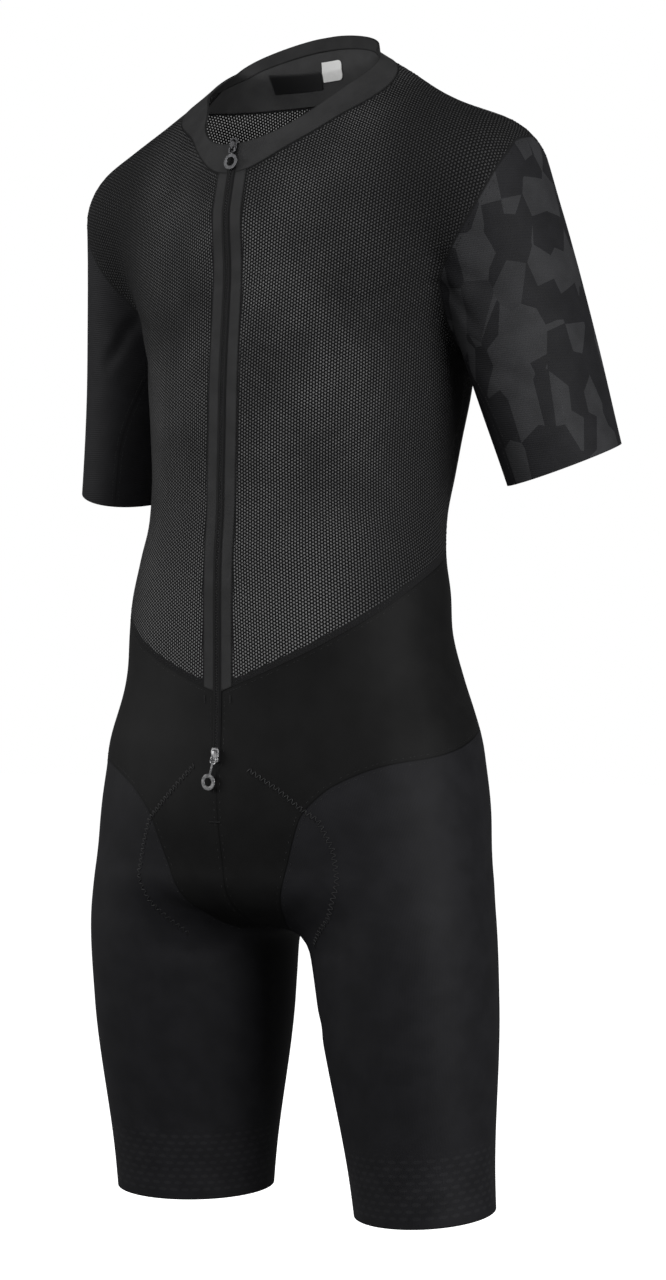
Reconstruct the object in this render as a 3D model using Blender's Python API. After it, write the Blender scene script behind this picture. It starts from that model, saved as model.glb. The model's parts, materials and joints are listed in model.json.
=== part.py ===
"""A one-piece cycling roadsuit, standing as if worn, with nobody in it.

Metres. +X is the wearer's left, -Y is the front and +Z is up. The origin lies between the shoulders,
where the wearer carries the suit. All the cloth follows one smooth figure: a trunk, a neck, two arms and
two legs, each a tube of oval sections, blended where they meet. An even net of points is laid on that
figure from a coarse cage, the net is cut along the seams, and each piece of net between seams becomes a
thin wall with a small gap to its neighbours.
"""

import math

import bmesh
import bpy
import numpy as np
from mathutils import Matrix

# ---- cloth: how far each wall stands outside the figure, and how far it reaches inside ----
SEAM_GAP = 0.0003
CLOTH = {
    "plain": (0.0, 0.0012),
    "mesh": (0.0, 0.0011),
    "collar": (0.0006, 0.0014),
    "placket": (0.0004, 0.0014),
    "zip": (0.0009, 0.0008),
}

# ---- figure ----
# height, half width, depth in front of the centre, depth behind it, centre's y, squareness
TRUNK = (
    (-0.645, 0.155, 0.097, 0.106, 0.006, 2.2),
    (-0.600, 0.163, 0.107, 0.119, 0.008, 2.2),
    (-0.550, 0.157, 0.110, 0.120, 0.010, 2.2),
    (-0.520, 0.153, 0.109, 0.114, 0.010, 2.2),
    (-0.485, 0.151, 0.105, 0.104, 0.006, 2.1),
    (-0.450, 0.147, 0.100, 0.096, 0.001, 2.1),
    (-0.420, 0.146, 0.101, 0.097, 0.002, 2.0),
    (-0.390, 0.139, 0.104, 0.096, 0.006, 2.0),
    (-0.355, 0.133, 0.110, 0.100, 0.015, 2.0),
    (-0.320, 0.133, 0.116, 0.112, 0.022, 2.0),
    (-0.290, 0.137, 0.120, 0.112, 0.027, 2.0),
    (-0.255, 0.142, 0.124, 0.115, 0.032, 2.0),
    (-0.210, 0.146, 0.122, 0.120, 0.033, 2.1),
    (-0.160, 0.160, 0.116, 0.117, 0.032, 2.2),
    (-0.120, 0.173, 0.106, 0.110, 0.028, 2.2),
    (-0.080, 0.181, 0.085, 0.097, 0.020, 2.2),
    (-0.050, 0.178, 0.062, 0.070, 0.014, 2.2),
    (-0.030, 0.160, 0.048, 0.055, 0.013, 2.1),
    (-0.010, 0.132, 0.040, 0.048, 0.017, 2.0),
    (0.010, 0.102, 0.036, 0.042, 0.024, 2.0),
    (0.030, 0.070, 0.028, 0.032, 0.026, 2.0),
)
SEAT_DROP = 0.050  # how far the trunk's rounded end reaches below its lowest section

# distance along the limb, half width across it, half depth, turn of the section in degrees
NECK = (
    (0.000, 0.052, 0.053, 0.0),
    (0.030, 0.056, 0.057, 0.0),
    (0.060, 0.060, 0.061, 0.0),
    (0.100, 0.062, 0.064, 0.0),
    (0.140, 0.066, 0.070, 0.0),
    (0.190, 0.074, 0.080, 0.0),
)
ARM = (
    (0.000, 0.053, 0.064, 0.0),
    (0.080, 0.050, 0.061, -15.0),
    (0.160, 0.046, 0.058, -20.0),
    (0.240, 0.044, 0.054, -15.0),
    (0.300, 0.044, 0.052, -10.0),
)
LEG = (
    (0.000, 0.072, 0.070, 45.0),
    (0.060, 0.074, 0.080, 45.0),
    (0.120, 0.076, 0.089, 45.0),
    (0.200, 0.073, 0.087, 45.0),
    (0.340, 0.059, 0.070, 45.0),
    (0.420, 0.056, 0.064, 45.0),
)
NECK_TOP = (0.0, -0.007, 0.080)
NECK_END = (0.0, -0.003, -0.150)
ARM_TOP = (0.168, 0.033, -0.088)
ARM_END = (0.221, 0.072, -0.314)
LEG_TOP = (0.099, 0.002, -0.560)
LEG_END = (0.1165, 0.0275, -0.920)
NECK_BLEND = 0.040
LEG_BLEND = 0.048
SHOULDER_BLEND = 0.050
ARMPIT_BLEND = 0.018
SHOULDER_Z = -0.100  # above this height arm and trunk blend softly, below the armpit they part sharply
ARMPIT_Z = -0.185

# ---- edges and seams ----
COLLAR_TOP = 0.008  # height of the collar's top edge where it crosses y = 0
COLLAR_SLOPE = 0.86
SLEEVE_LENGTH = 0.238
SLEEVE_TILT = 0.12  # the hem runs lower in front, by this share of the distance across the arm
LEG_LENGTH = 0.365
ARMHOLE_X = 0.238  # the armhole's plane: half width at height 0, and how much narrower it is lower down
ARMHOLE_SLOPE = 0.49
ARMHOLE_LOWEST = -0.240
ARMHOLE_BOW = 0.014  # how far the armhole bows outward in front, and the height and half span of that bow
ARMHOLE_BOW_Z = -0.105
ARMHOLE_BOW_SPAN = 0.060
ZIP_HALF = 0.0037
PLACKET_HALF = 0.0137
ZIP_END = -0.556
YOKE_DEPTH = 0.003

# distance behind the figure's middle, how far the collar's seam lies below the plane of its top edge
COLLAR_SEAM = (
    (-0.085, 0.022),
    (-0.070, 0.016),
    (-0.045, 0.014),
    (0.000, 0.011),
    (0.030, 0.011),
    (0.060, 0.013),
    (0.090, 0.015),
)
# height, how far behind the middle of the body the side and shoulder seams run
SIDE_SEAM = (
    (-0.600, 0.042),
    (-0.060, 0.042),
    (-0.020, 0.037),
    (0.010, 0.028),
    (0.030, 0.024),
    (0.060, 0.022),
)
# angle from the front in degrees, height of the waist seam
WAIST_SEAM = (
    (0, -0.501),
    (20, -0.488),
    (45, -0.466),
    (65, -0.440),
    (85, -0.409),
    (100, -0.393),
    (130, -0.385),
    (180, -0.385),
)
# distance round from the centre front, height of the seam between brief and legs
HIP_SEAM = (
    (0.000, -0.720),
    (0.020, -0.700),
    (0.048, -0.668),
    (0.062, -0.632),
    (0.068, -0.615),
    (0.075, -0.600),
    (0.085, -0.587),
    (0.105, -0.573),
    (0.130, -0.561),
    (0.165, -0.552),
    (0.225, -0.542),
    (0.267, -0.532),
    (0.350, -0.524),
)
HIP_FRONT = -0.030  # in front of this the distance round is taken straight across
HIP_TURN = 1.6
# distance along the arm, share of the way round that the underarm piece takes
UNDERARM = ((0.100, 0.85), (0.140, 0.62), (0.180, 0.44), (0.245, 0.38))

# ---- neck label and size tab ----
# low x, high x, low z, high z, radius of the corners at the high end of x
PATCHES = {
    "neck_label": (-0.053, -0.0095, 0.0165, 0.0310, 0.0),
    "size_tab": (-0.0075, 0.0130, 0.0220, 0.0380, 0.004),
}
PATCH_THICK = 0.001
PATCH_CLEAR = 0.0008  # from the yoke's inner face, whose flat facets bow inwards between their corners
PATCH_GRID = (9, 4)

# ---- zip sliders and pulls ----
# a slider's own axes run across the zip, up along it and out from the cloth
# height on the zip, length of the link above the ring, lean towards the wearer's right in degrees
SLIDERS = {"top": (-0.0580, 0.0002, 0.0), "bottom": (-0.5510, 0.0084, 17.0)}
# distance up from the slider's middle, half width
SLIDER_OUTLINE = (
    (-0.0060, 0.0021),
    (-0.0053, 0.0030),
    (-0.0035, 0.0033),
    (0.0010, 0.0036),
    (0.0042, 0.0037),
    (0.0055, 0.0032),
    (0.0060, 0.0024),
)
SLIDER_THICK = 0.0018
EDGE_ROUND = 0.00025
BRIDGE_LENGTH = 0.0094
BRIDGE_RISE = 0.0030
BRIDGE_THICK = 0.0009
BRIDGE_WIDTH = 0.0019
BRIDGE_SQUARE = 2.8
BRIDGE_STEPS = 14
HINGE_ALONG = -0.0022  # the pull's crossbar, up from the slider's middle and out from its plate
HINGE_OUT = 0.0010
WIRE_RADIUS = 0.0005
EYE_WIDTH = 0.0050  # the wire eye that goes through the bridge, between the middles of its wires
EYE_LENGTH = 0.0047
EYE_CORNER = 0.0009
LINK_WIDTH = 0.0021
LINK_THICK = 0.0009
RING_RADIUS = 0.00675
RING_HOLE = 0.0036
RING_THICK = 0.0012
RING_CLEAR = 0.0032  # from the figure to the middle of the ring, hanging


def smooth(rows, at):
    """The columns of a table at the given places, on a smooth curve through its rows."""
    rows = np.array(rows, float)
    place, value = rows[:, 0], rows[:, 1:]
    slope = np.gradient(value, place, axis=0)
    low = np.clip(np.searchsorted(place, at) - 1, 0, len(place) - 2)
    step = place[low + 1] - place[low]
    t = np.clip((at - place[low]) / step, 0, 1)[:, None]
    step = step[:, None]
    rise = value[low + 1] - value[low]
    bend = (1 - t) * (slope[low] * step - rise) - t * (slope[low + 1] * step - rise)
    return (value[low] + t * rise + t * (1 - t) * bend).T


def oval_field(across, deep, beyond, half, depth, end, square):
    """Distance outside a rounded tube, measured from the middle of its nearest section."""
    far = np.sqrt(across**2 + deep**2 + beyond**2) + 1e-9
    share = (
        np.abs(across / half) ** square
        + np.abs(deep / depth) ** square
        + np.abs(beyond / end) ** square
    ) ** (1 / square)
    return far - far / np.maximum(share, 1e-6)


def trunk_field(points):
    x, y, z = points.T
    level = np.clip(z, TRUNK[0][0], TRUNK[-1][0])
    half, front, back, centre, square = smooth(TRUNK, level)
    deep = y - centre
    return oval_field(x, deep, z - level, half, np.where(deep < 0, front, back), SEAT_DROP, square)


def limb_frame(top, end):
    """A limb's direction down its axis, and the two directions across it: outward and backward."""
    down = np.subtract(end, top)
    down /= np.linalg.norm(down)
    out = np.cross((0.0, 1.0, 0.0), -down)
    out /= np.linalg.norm(out)
    return down, out, np.cross(out, down)


def limb_field(points, top, end, rows):
    down, out, back = limb_frame(top, end)
    offset = points - np.array(top)
    along = offset @ down
    at = np.clip(along, rows[0][0], rows[-1][0])
    half, depth, turn = smooth(rows, at)
    turn = np.radians(turn)
    across, deep = offset @ out, offset @ back
    across, deep = (
        across * np.cos(turn) + deep * np.sin(turn),
        deep * np.cos(turn) - across * np.sin(turn),
    )
    return oval_field(across, deep, along - at, half, depth, half, 2.0)


def blend(a, b, width):
    """The nearer of two distances, rounded where they are alike."""
    near = np.maximum(width - np.abs(a - b), 0) / width
    return np.minimum(a, b) - near**3 * width / 6


def folded(points):
    """The points with the wearer's right side folded onto the left."""
    return np.column_stack([np.abs(points[:, 0]), points[:, 1:]])


def arm_field(points):
    return limb_field(folded(points), ARM_TOP, ARM_END, ARM)


def core_field(points):
    """The figure without its arms."""
    left = folded(points)
    neck = limb_field(points, NECK_TOP, NECK_END, NECK)
    near_leg = limb_field(left, LEG_TOP, LEG_END, LEG)
    far_leg = limb_field(left * (-1, 1, 1), LEG_TOP, LEG_END, LEG)
    legs = blend(near_leg, far_leg, LEG_BLEND)
    return blend(blend(trunk_field(points), neck, NECK_BLEND), legs, LEG_BLEND)


def body_field(points):
    """Distance outside the whole figure: negative inside, positive outside, 0 on the figure's skin."""
    rise = np.clip((points[:, 2] - ARMPIT_Z) / (SHOULDER_Z - ARMPIT_Z), 0, 1)
    width = ARMPIT_BLEND + (SHOULDER_BLEND - ARMPIT_BLEND) * rise * rise * (3 - 2 * rise)
    return blend(core_field(points), arm_field(points), width)


def slope_of(rule, points, reach=0.0004):
    """A rule's gradient at each point."""
    steps = np.eye(3) * reach
    return np.stack([(rule(points + s) - rule(points - s)) / (2 * reach) for s in steps], axis=1)


def outward(points):
    """The figure's unit normal at each point."""
    slope = slope_of(body_field, points)
    return slope / np.linalg.norm(slope, axis=1)[:, None]


def onto_body(points, rounds=5):
    """The points moved onto the figure, each along the figure's own gradient."""
    for _ in range(rounds):
        slope = slope_of(body_field, points)
        points = points - slope * (body_field(points) / (slope**2).sum(1))[:, None]
    return points


def onto_seam(points, rule, rounds=4):
    """The points moved along the figure onto the line where the rule is 0."""
    for _ in range(rounds):
        normal = outward(points)
        slope = slope_of(rule, points)
        slope = slope - normal * (slope * normal).sum(1)[:, None]
        size = np.maximum((slope**2).sum(1), 1e-4)
        points = onto_body(points - slope * (rule(points) / size)[:, None], 2)
    return points


def reach_body(origins, directions, longest=0.34, steps=80):
    """Where rays that start inside the figure first leave it."""
    origins, directions = np.broadcast_arrays(np.array(origins, float), np.array(directions, float))
    directions = directions / np.linalg.norm(directions, axis=1)[:, None]
    far = np.linspace(0.0, longest, steps)
    fields = np.stack([body_field(origins + directions * r) for r in far])
    first = np.argmax(fields > 0, axis=0)
    low, high = far[first - 1], far[first]
    for _ in range(24):
        middle = (low + high) / 2
        outside = body_field(origins + directions * middle[:, None]) > 0
        low, high = np.where(outside, low, middle), np.where(outside, middle, high)
    return origins + directions * middle[:, None]


# ---- the cage ----
# seven columns from the centre front, round the wearer's left side, to the centre back
COLUMNS = 7
COLLAR_LEVELS = (0.012, -0.036)  # above and below the collar's top edge, in its own sloping plane
SHOULDER_HEIGHTS = (-0.080, -0.135, -0.200)
BODY_HEIGHTS = (-0.290, -0.390, -0.490, -0.590)
# where the shoulder's net opens into the sleeve: column, row, x, y, z
ARM_HOLE = (
    (2, 0, 0.196, -0.005, -0.075),
    (3, 0, 0.205, 0.030, -0.055),
    (4, 0, 0.196, 0.065, -0.075),
    (2, 1, 0.180, -0.030, -0.130),
    (4, 1, 0.180, 0.095, -0.130),
    (2, 2, 0.152, -0.010, -0.185),
    (3, 2, 0.150, 0.040, -0.192),
    (4, 2, 0.152, 0.085, -0.185),
)
HOLE_ORDER = ((3, 0), (4, 0), (4, 1), (4, 2), (3, 2), (2, 2), (2, 1), (2, 0))
ARMPIT = ((4, 2), (3, 2), (2, 2))  # the part of that opening that stays in the crease under the arm
ARM_RINGS = (0.135, 0.200, 0.265)
LEG_RINGS = (0.190, 0.280, 0.395)
CROTCH = (0.0, 0.005, -0.700)
# the lowest trunk row, where the legs begin: x, y, z in each column
FORK = (
    (0.000, -0.060, -0.680),
    (0.070, -0.075, -0.680),
    (0.145, -0.055, -0.680),
    (0.178, 0.010, -0.680),
    (0.150, 0.080, -0.680),
    (0.080, 0.105, -0.680),
    (0.000, 0.070, -0.685),
)


def around(angles):
    """Level directions at the given angles from the front, towards the wearer's left."""
    angles = np.radians(angles)
    return np.column_stack([np.sin(angles), -np.cos(angles), np.zeros(len(angles))])


def limb_ring(top, end, distance):
    """Eight points round a limb, the outer one first, then towards the back."""
    down, out, back = limb_frame(top, end)
    middle = np.array(top) + down * distance
    turns = np.radians(np.arange(8) * 45.0)
    return reach_body(middle[None], np.outer(np.cos(turns), out) + np.outer(np.sin(turns), back))


def left_cage():
    """The cage's points and four-sided faces on the wearer's left, and which points lie under the arm."""
    angles = np.linspace(0, 180, COLUMNS)
    level = around(angles)
    rows = []
    for lift in COLLAR_LEVELS:
        sloping = level + np.outer(level[:, 1] * COLLAR_SLOPE, (0, 0, 1))
        rows.append(reach_body([(0.0, -0.007, COLLAR_TOP - 0.007 * COLLAR_SLOPE + lift)], sloping))
    for height in SHOULDER_HEIGHTS + BODY_HEIGHTS:
        rows.append(reach_body([(0.0, 0.020, height)], level))
    for column, row, *place in ARM_HOLE:
        rows[2 + row][column] = place
    rows.append(np.array(FORK))
    points = [point for row in rows for point in row]
    faces = []

    def number(row, column):
        return row * COLUMNS + column

    for row in range(len(rows) - 1):
        for column in range(COLUMNS - 1):
            if row in (2, 3) and column in (2, 3):
                continue
            corners = ((row, column), (row + 1, column), (row + 1, column + 1), (row, column + 1))
            faces.append(tuple(number(*corner) for corner in corners))

    ring = [number(2 + row, column) for column, row in HOLE_ORDER]
    for distance in ARM_RINGS:
        ring = add_ring(points, faces, ring, limb_ring(ARM_TOP, ARM_END, distance))

    last = len(rows) - 1
    points.append(np.array(CROTCH))
    crotch = len(points) - 1
    behind = [number(last, column) for column in (3, 4, 5, 6)]
    ring = behind + [crotch] + [number(last, column) for column in (0, 1, 2)]
    for distance in LEG_RINGS:
        ring = add_ring(points, faces, ring, limb_ring(LEG_TOP, LEG_END, distance))
    crease = np.zeros(len(points), bool)
    crease[[number(2 + row, column) for column, row in ARMPIT]] = True
    return np.array(points), faces, crease


def add_ring(points, faces, ring, places):
    start = len(points)
    points.extend(places)
    following = list(range(start, start + len(places)))
    for k in range(len(ring)):
        nxt = (k + 1) % len(ring)
        faces.append((ring[k], following[k], following[nxt], ring[nxt]))
    return following


def whole_cage():
    """Both halves, joined along the middle."""
    points, faces, crease = left_cage()
    middle = np.abs(points[:, 0]) < 1e-6
    points[middle, 0] = 0
    partner = np.arange(len(points))
    partner[~middle] = len(points) + np.arange((~middle).sum())
    mirrored = points[~middle] * (-1, 1, 1)
    both = np.vstack([points, mirrored])
    faces = faces + [tuple(partner[k] for k in face[::-1]) for face in faces]
    return both, faces, np.concatenate([crease, crease[~middle]])


def neighbours_of(faces, count):
    edges = np.array([(f[k], f[(k + 1) % len(f)]) for f in faces for k in range(len(f))])
    edges = np.unique(np.sort(edges, axis=1), axis=0)
    ends = np.vstack([edges, edges[:, ::-1]])
    number = np.bincount(ends[:, 0], minlength=count)
    return ends, number


def relax(points, faces, crease, rounds):
    """Points inside the net drawn towards the middle of their neighbours, and kept on the figure."""
    fixed = rim_of(faces, len(points))
    ends, number = neighbours_of(faces, len(points))
    for _ in range(rounds):
        total = np.zeros_like(points)
        np.add.at(total, ends[:, 0], points[ends[:, 1]])
        drawn = total / np.maximum(number, 1)[:, None]
        moved = onto_body(points + (drawn - points) * 0.6, 2)
        moved[np.abs(points[:, 0]) < 1e-7, 0] = 0
        moved[crease] = onto_seam(moved[crease], nearer_arm, 2)
        points = np.where(fixed[:, None], points, moved)
    return points


def rim_of(faces, count):
    """Which points lie on an open edge."""
    seen = {}
    for face in faces:
        for k, a in enumerate(face):
            key = frozenset((a, face[(k + 1) % len(face)]))
            seen[key] = seen.get(key, 0) + 1
    rim = np.zeros(count, bool)
    for key, times in seen.items():
        if times == 1:
            rim[list(key)] = True
    return rim


def subdivide(points, faces, crease):
    """Each face in four. The middle of a side between two creased points is creased as well."""
    points, crease = list(points), list(crease)
    middles = {}

    def middle(a, b):
        key = (a, b) if a < b else (b, a)
        if key not in middles:
            middles[key] = len(points)
            points.append((points[a] + points[b]) / 2)
            crease.append(crease[a] and crease[b])
        return middles[key]

    finer = []
    for face in faces:
        centre = len(points)
        points.append(sum(points[k] for k in face) / len(face))
        crease.append(False)
        sides = [middle(face[k], face[(k + 1) % 4]) for k in range(4)]
        finer += [(face[k], sides[k], centre, sides[k - 1]) for k in range(4)]
    return np.array(points), finer, np.array(crease)


def skin_net(levels, rounds=12):
    """An even net of four-sided faces over the whole figure, open at the neck and past the four hems."""
    points, faces, crease = whole_cage()
    points = relax(onto_body(points), faces, crease, 3)
    for _ in range(levels):
        points, faces, crease = subdivide(points, faces, crease)
        points = relax(onto_body(points), faces, crease, rounds)
    return points, faces


# ---- seam rules: each is 0 on its seam, and as a rule positive above or outside it ----
def above_collar(points):
    return points[:, 2] - COLLAR_TOP - COLLAR_SLOPE * points[:, 1]


def along_limb(points, top, end):
    return (folded(points) - np.array(top)) @ limb_frame(top, end)[0]


def past_sleeve(points):
    deep = (folded(points) - np.array(ARM_TOP)) @ limb_frame(ARM_TOP, ARM_END)[2]
    return along_limb(points, ARM_TOP, ARM_END) + SLEEVE_TILT * deep - SLEEVE_LENGTH


def past_leg(points):
    return along_limb(points, LEG_TOP, LEG_END) - LEG_LENGTH


def past_armhole(points):
    rise = (points[:, 2] - ARMHOLE_BOW_Z) / ARMHOLE_BOW_SPAN
    front = np.clip((0.040 - points[:, 1]) / 0.040, 0, 1)
    bow = ARMHOLE_BOW * np.maximum(1 - rise**2, 0) * front
    return np.abs(points[:, 0]) - ARMHOLE_SLOPE * points[:, 2] - ARMHOLE_X - bow


def nearer_arm(points):
    return core_field(points) - arm_field(points)


def outside_underarm(points):
    down, out, back = limb_frame(ARM_TOP, ARM_END)
    offset = folded(points) - np.array(ARM_TOP)
    across, deep = offset @ out, offset @ back
    share = smooth(UNDERARM, np.clip(offset @ down, UNDERARM[0][0], UNDERARM[-1][0]))[0]
    return across + share * np.hypot(across, deep)


def above_collar_seam(points):
    drop = smooth(COLLAR_SEAM, np.clip(points[:, 1], COLLAR_SEAM[0][0], COLLAR_SEAM[-1][0]))[0]
    return above_collar(points) + drop


def beside_zip(points):
    return np.abs(points[:, 0]) - ZIP_HALF


def beside_placket(points):
    return np.abs(points[:, 0]) - PLACKET_HALF


def above_zip_end(points):
    return points[:, 2] - ZIP_END


def by_zip(points):
    """Whether the points are near the front's middle line, above the brief."""
    return (points[:, 1] < 0) & (np.abs(points[:, 0]) < 0.06) & (points[:, 2] > -0.62)


def by_armhole(points):
    return (points[:, 2] > ARMHOLE_LOWEST) & (np.abs(points[:, 0]) > 0.09)


def on_lower_arm(points):
    return (points[:, 2] <= ARMHOLE_LOWEST) & (nearer_arm(points) > 0) & (points[:, 2] > -0.45)


def on_left(points):
    return points[:, 0]


def behind_side(points):
    return points[:, 1] - smooth(SIDE_SEAM, np.clip(points[:, 2], SIDE_SEAM[0][0], SIDE_SEAM[-1][0]))[0]


def above_waist(points):
    angle = np.degrees(np.arctan2(np.abs(points[:, 0]), -points[:, 1]))
    return points[:, 2] - smooth(WAIST_SEAM, angle)[0]


def above_hip(points):
    around_hip = np.abs(points[:, 0]) + HIP_TURN * np.maximum(points[:, 1] - HIP_FRONT, 0)
    return points[:, 2] - smooth(HIP_SEAM, np.minimum(around_hip, HIP_SEAM[-1][0]))[0]


def above_yoke(points):
    return points[:, 2] - YOKE_DEPTH


class Net:
    """A net of many-sided faces, each with the name of its piece, that can be cut along lines."""

    SNAP = 0.22  # a free point this near a line, as a share of its edge, is moved onto it
    NEAR = 0.0006  # a point on an earlier seam counts as on the line when it is this near

    def __init__(self, points, faces, name):
        self.points = points
        self.faces = [tuple(face) for face in faces]
        self.names = [name] * len(faces)
        self.held = (np.abs(points[:, 0]) < 1e-7) | rim_of(faces, len(points))

    def centres(self):
        return np.array([self.points[list(face)].mean(axis=0) for face in self.faces])

    def rename(self, old, new, choose):
        """The named faces whose centres are chosen get a new name."""
        chosen = choose(self.centres())
        self.names = [new if name == old and pick else name for name, pick in zip(self.names, chosen)]

    def edges_of(self, chosen):
        edges = {(min(a, b), max(a, b)) for k in chosen for a, b in sides_of(self.faces[k])}
        return np.array(sorted(edges))

    def cut(self, old, rule, low, high, within=None):
        """Faces of one name are split where the rule is 0 into those below it and those above it."""
        inside = np.ones(len(self.faces), bool) if within is None else within(self.centres())
        chosen = [k for k, name in enumerate(self.names) if name == old and inside[k]]
        value = rule(self.points)
        value[np.abs(value) < 1e-7] = 0
        edges = self.edges_of(chosen)
        ends = value[edges]
        crossing = edges[ends[:, 0] * ends[:, 1] < 0]
        share = value[crossing[:, 0]] / (value[crossing[:, 0]] - value[crossing[:, 1]])
        nearest = {}
        for (a, b), t in zip(crossing, share):
            place = self.points[a] + (self.points[b] - self.points[a]) * t
            for point, reach in ((a, t), (b, 1 - t)):
                gap = np.linalg.norm(place - self.points[point])
                near = gap < self.NEAR if self.held[point] else reach < self.SNAP
                if near and gap < nearest.get(point, (1, None))[0]:
                    nearest[point] = (gap, place)
        moved = [point for point in nearest if not self.held[point]]
        if moved:
            places = onto_seam(onto_body(np.array([nearest[point][1] for point in moved])), rule)
            self.points[moved] = places
        value[list(nearest)] = 0
        fresh = self.split_edges(crossing, value, rule)
        value = np.concatenate([value, np.zeros(len(self.points) - len(value))])
        self.held = np.concatenate([self.held, np.ones(len(self.points) - len(self.held), bool)])
        self.split_faces(chosen, fresh, value, rule, low, high)

    def split_edges(self, crossing, value, rule):
        """A new point on every edge that still crosses the line."""
        pairs = [(a, b) for a, b in crossing if value[a] * value[b] < 0]
        if not pairs:
            return {}
        a, b = np.array(pairs).T
        share = (value[a] / (value[a] - value[b]))[:, None]
        places = onto_body(self.points[a] + (self.points[b] - self.points[a]) * share)
        free = ~(self.held[a] & self.held[b])
        places[free] = onto_seam(places[free], rule)
        first = len(self.points)
        self.points = np.vstack([self.points, places])
        return {pair: first + k for k, pair in enumerate(map(tuple, pairs))}

    def split_faces(self, chosen, fresh, value, rule, low, high):
        cut_here = set(chosen)
        faces, names = [], []
        for k, (face, name) in enumerate(zip(self.faces, self.names)):
            ring = []
            for a, b in sides_of(face):
                ring.append(a)
                between = fresh.get((min(a, b), max(a, b)))
                if between is not None:
                    ring.append(between)
            if k not in cut_here:
                faces.append(tuple(ring))
                names.append(name)
                continue
            for piece in halves(ring, value):
                signs = value[list(piece)]
                total = signs.sum()
                if not signs.any():
                    total = rule(self.points[list(piece)].mean(axis=0)[None])[0]
                faces.append(piece)
                names.append(high if total > 0 else low)
        self.faces, self.names = faces, names
        for face, name in zip(faces, names):
            if name in (low, high):
                self.held[[p for p in face if value[p] == 0]] = True

    def weld(self, shortest):
        """Edges shorter than this are closed up."""
        target = np.arange(len(self.points))
        edges = self.edges_of(range(len(self.faces)))
        lengths = np.linalg.norm(self.points[edges[:, 0]] - self.points[edges[:, 1]], axis=1)
        for (a, b), length in sorted(zip(map(tuple, edges), lengths), key=lambda row: row[1]):
            if length > shortest:
                break
            a, b = target[a], target[b]
            if self.held[a] and self.held[b] and length > shortest / 2:
                continue
            keep, drop = (a, b) if self.held[a] else (b, a)
            target[target == drop] = keep
        faces, names = [], []
        for face, name in zip(self.faces, self.names):
            ring = [int(target[p]) for p in face]
            ring = [p for k, p in enumerate(ring) if p != ring[k - 1]]
            if len(ring) > 2:
                faces.append(tuple(ring))
                names.append(name)
        self.faces, self.names = faces, names


def sides_of(face):
    return [(face[k], face[(k + 1) % len(face)]) for k in range(len(face))]


def halves(ring, value):
    """A face's ring of points, parted where it crosses the line."""
    signs = [int(np.sign(value[p])) for p in ring]
    if not (1 in signs and -1 in signs):
        return [tuple(ring)]
    start = next(k for k in range(len(ring)) if signs[k] and signs[k - 1] != signs[k])
    ring, signs = ring[start:] + ring[:start], signs[start:] + signs[:start]
    stops = []
    last = signs[0]
    for k, sign in enumerate(signs):
        if sign and sign != last:
            stops.append(next(j for j in range(k - 1, -1, -1) if signs[j - 1] or j == 0))
            last = sign
    if len(stops) != 1 or signs[-1]:
        return [tuple(ring)]
    first = stops[0]
    second = next(j for j in range(len(ring) - 1, -1, -1) if signs[j - 1])
    return [tuple(ring[second:] + ring[: first + 1]), tuple(ring[first : second + 1])]


def sewn_net(levels):
    """The net over the figure, cut along every seam and edge of the suit."""
    net = Net(*skin_net(levels), "suit")
    net.cut("suit", above_collar, "suit", "off", lambda c: c[:, 2] > -0.10)
    net.cut("suit", past_armhole, "suit", "arm", by_armhole)
    net.rename("suit", "arm", on_lower_arm)
    net.cut("arm", nearer_arm, "suit", "arm")
    net.cut("arm", past_sleeve, "arm", "off")
    net.cut("arm", outside_underarm, "underarm", "sleeve")
    net.cut("suit", past_leg, "suit", "off", lambda c: c[:, 2] < -0.80)

    net.cut("suit", beside_zip, "strip", "suit", by_zip)
    net.cut("strip", above_zip_end, "suit", "strip")
    net.cut("suit", above_collar_seam, "suit", "collar", lambda c: c[:, 2] > -0.14)
    net.cut("suit", above_waist, "shorts", "bodice")
    net.cut("bodice", behind_side, "front", "back")
    net.cut("front", beside_placket, "placket", "front")
    net.cut("back", above_yoke, "back", "yoke")
    net.cut("shorts", above_hip, "leg", "brief")
    for name in ("sleeve", "underarm", "strip", "placket", "front", "brief", "leg"):
        net.cut(name, on_left, name + "_right", name + "_left")
    net.weld(0.0010)
    return net


def wall(net, name, outside, inside):
    """One piece of the net as a closed wall, moved in at its seams: its points and faces."""
    own = [face for face, other in zip(net.faces, net.names) if other == name]
    beside = [face for face, other in zip(net.faces, net.names) if other not in (name, "off")]
    seams = {frozenset(side) for face in beside for side in sides_of(face)}
    flat = bmesh.new()
    used = sorted({p for face in own for p in face})
    index = {p: flat.verts.new(net.points[p]) for p in used}
    rim = {}
    for face in own:
        flat.faces.new([index[p] for p in face])
    own_sides = {side for face in own for side in sides_of(face)}
    for a, b in own_sides:
        if (b, a) not in own_sides:
            rim[a] = (b, rim.get(a, (None, None))[1])
            rim[b] = (rim.get(b, (None, None))[0], a)
    bmesh.ops.triangulate(flat, faces=flat.faces[:])
    flat.verts.index_update()
    triangles = [tuple(v.index for v in face.verts) for face in flat.faces]
    flat.free()
    places = net.points[used]
    normals = outward(places)
    number = {p: k for k, p in enumerate(used)}
    moved = places.copy()
    for point, (following, before) in rim.items():
        normal = normals[number[point]]
        moved[number[point]] += drawn_in(net.points, normal, point, following, before, seams)
    ring_sides = [(number[a], number[b]) for a, b in own_sides if (b, a) not in own_sides]
    return thick(moved, normals, triangles, ring_sides, outside, inside)


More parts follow.
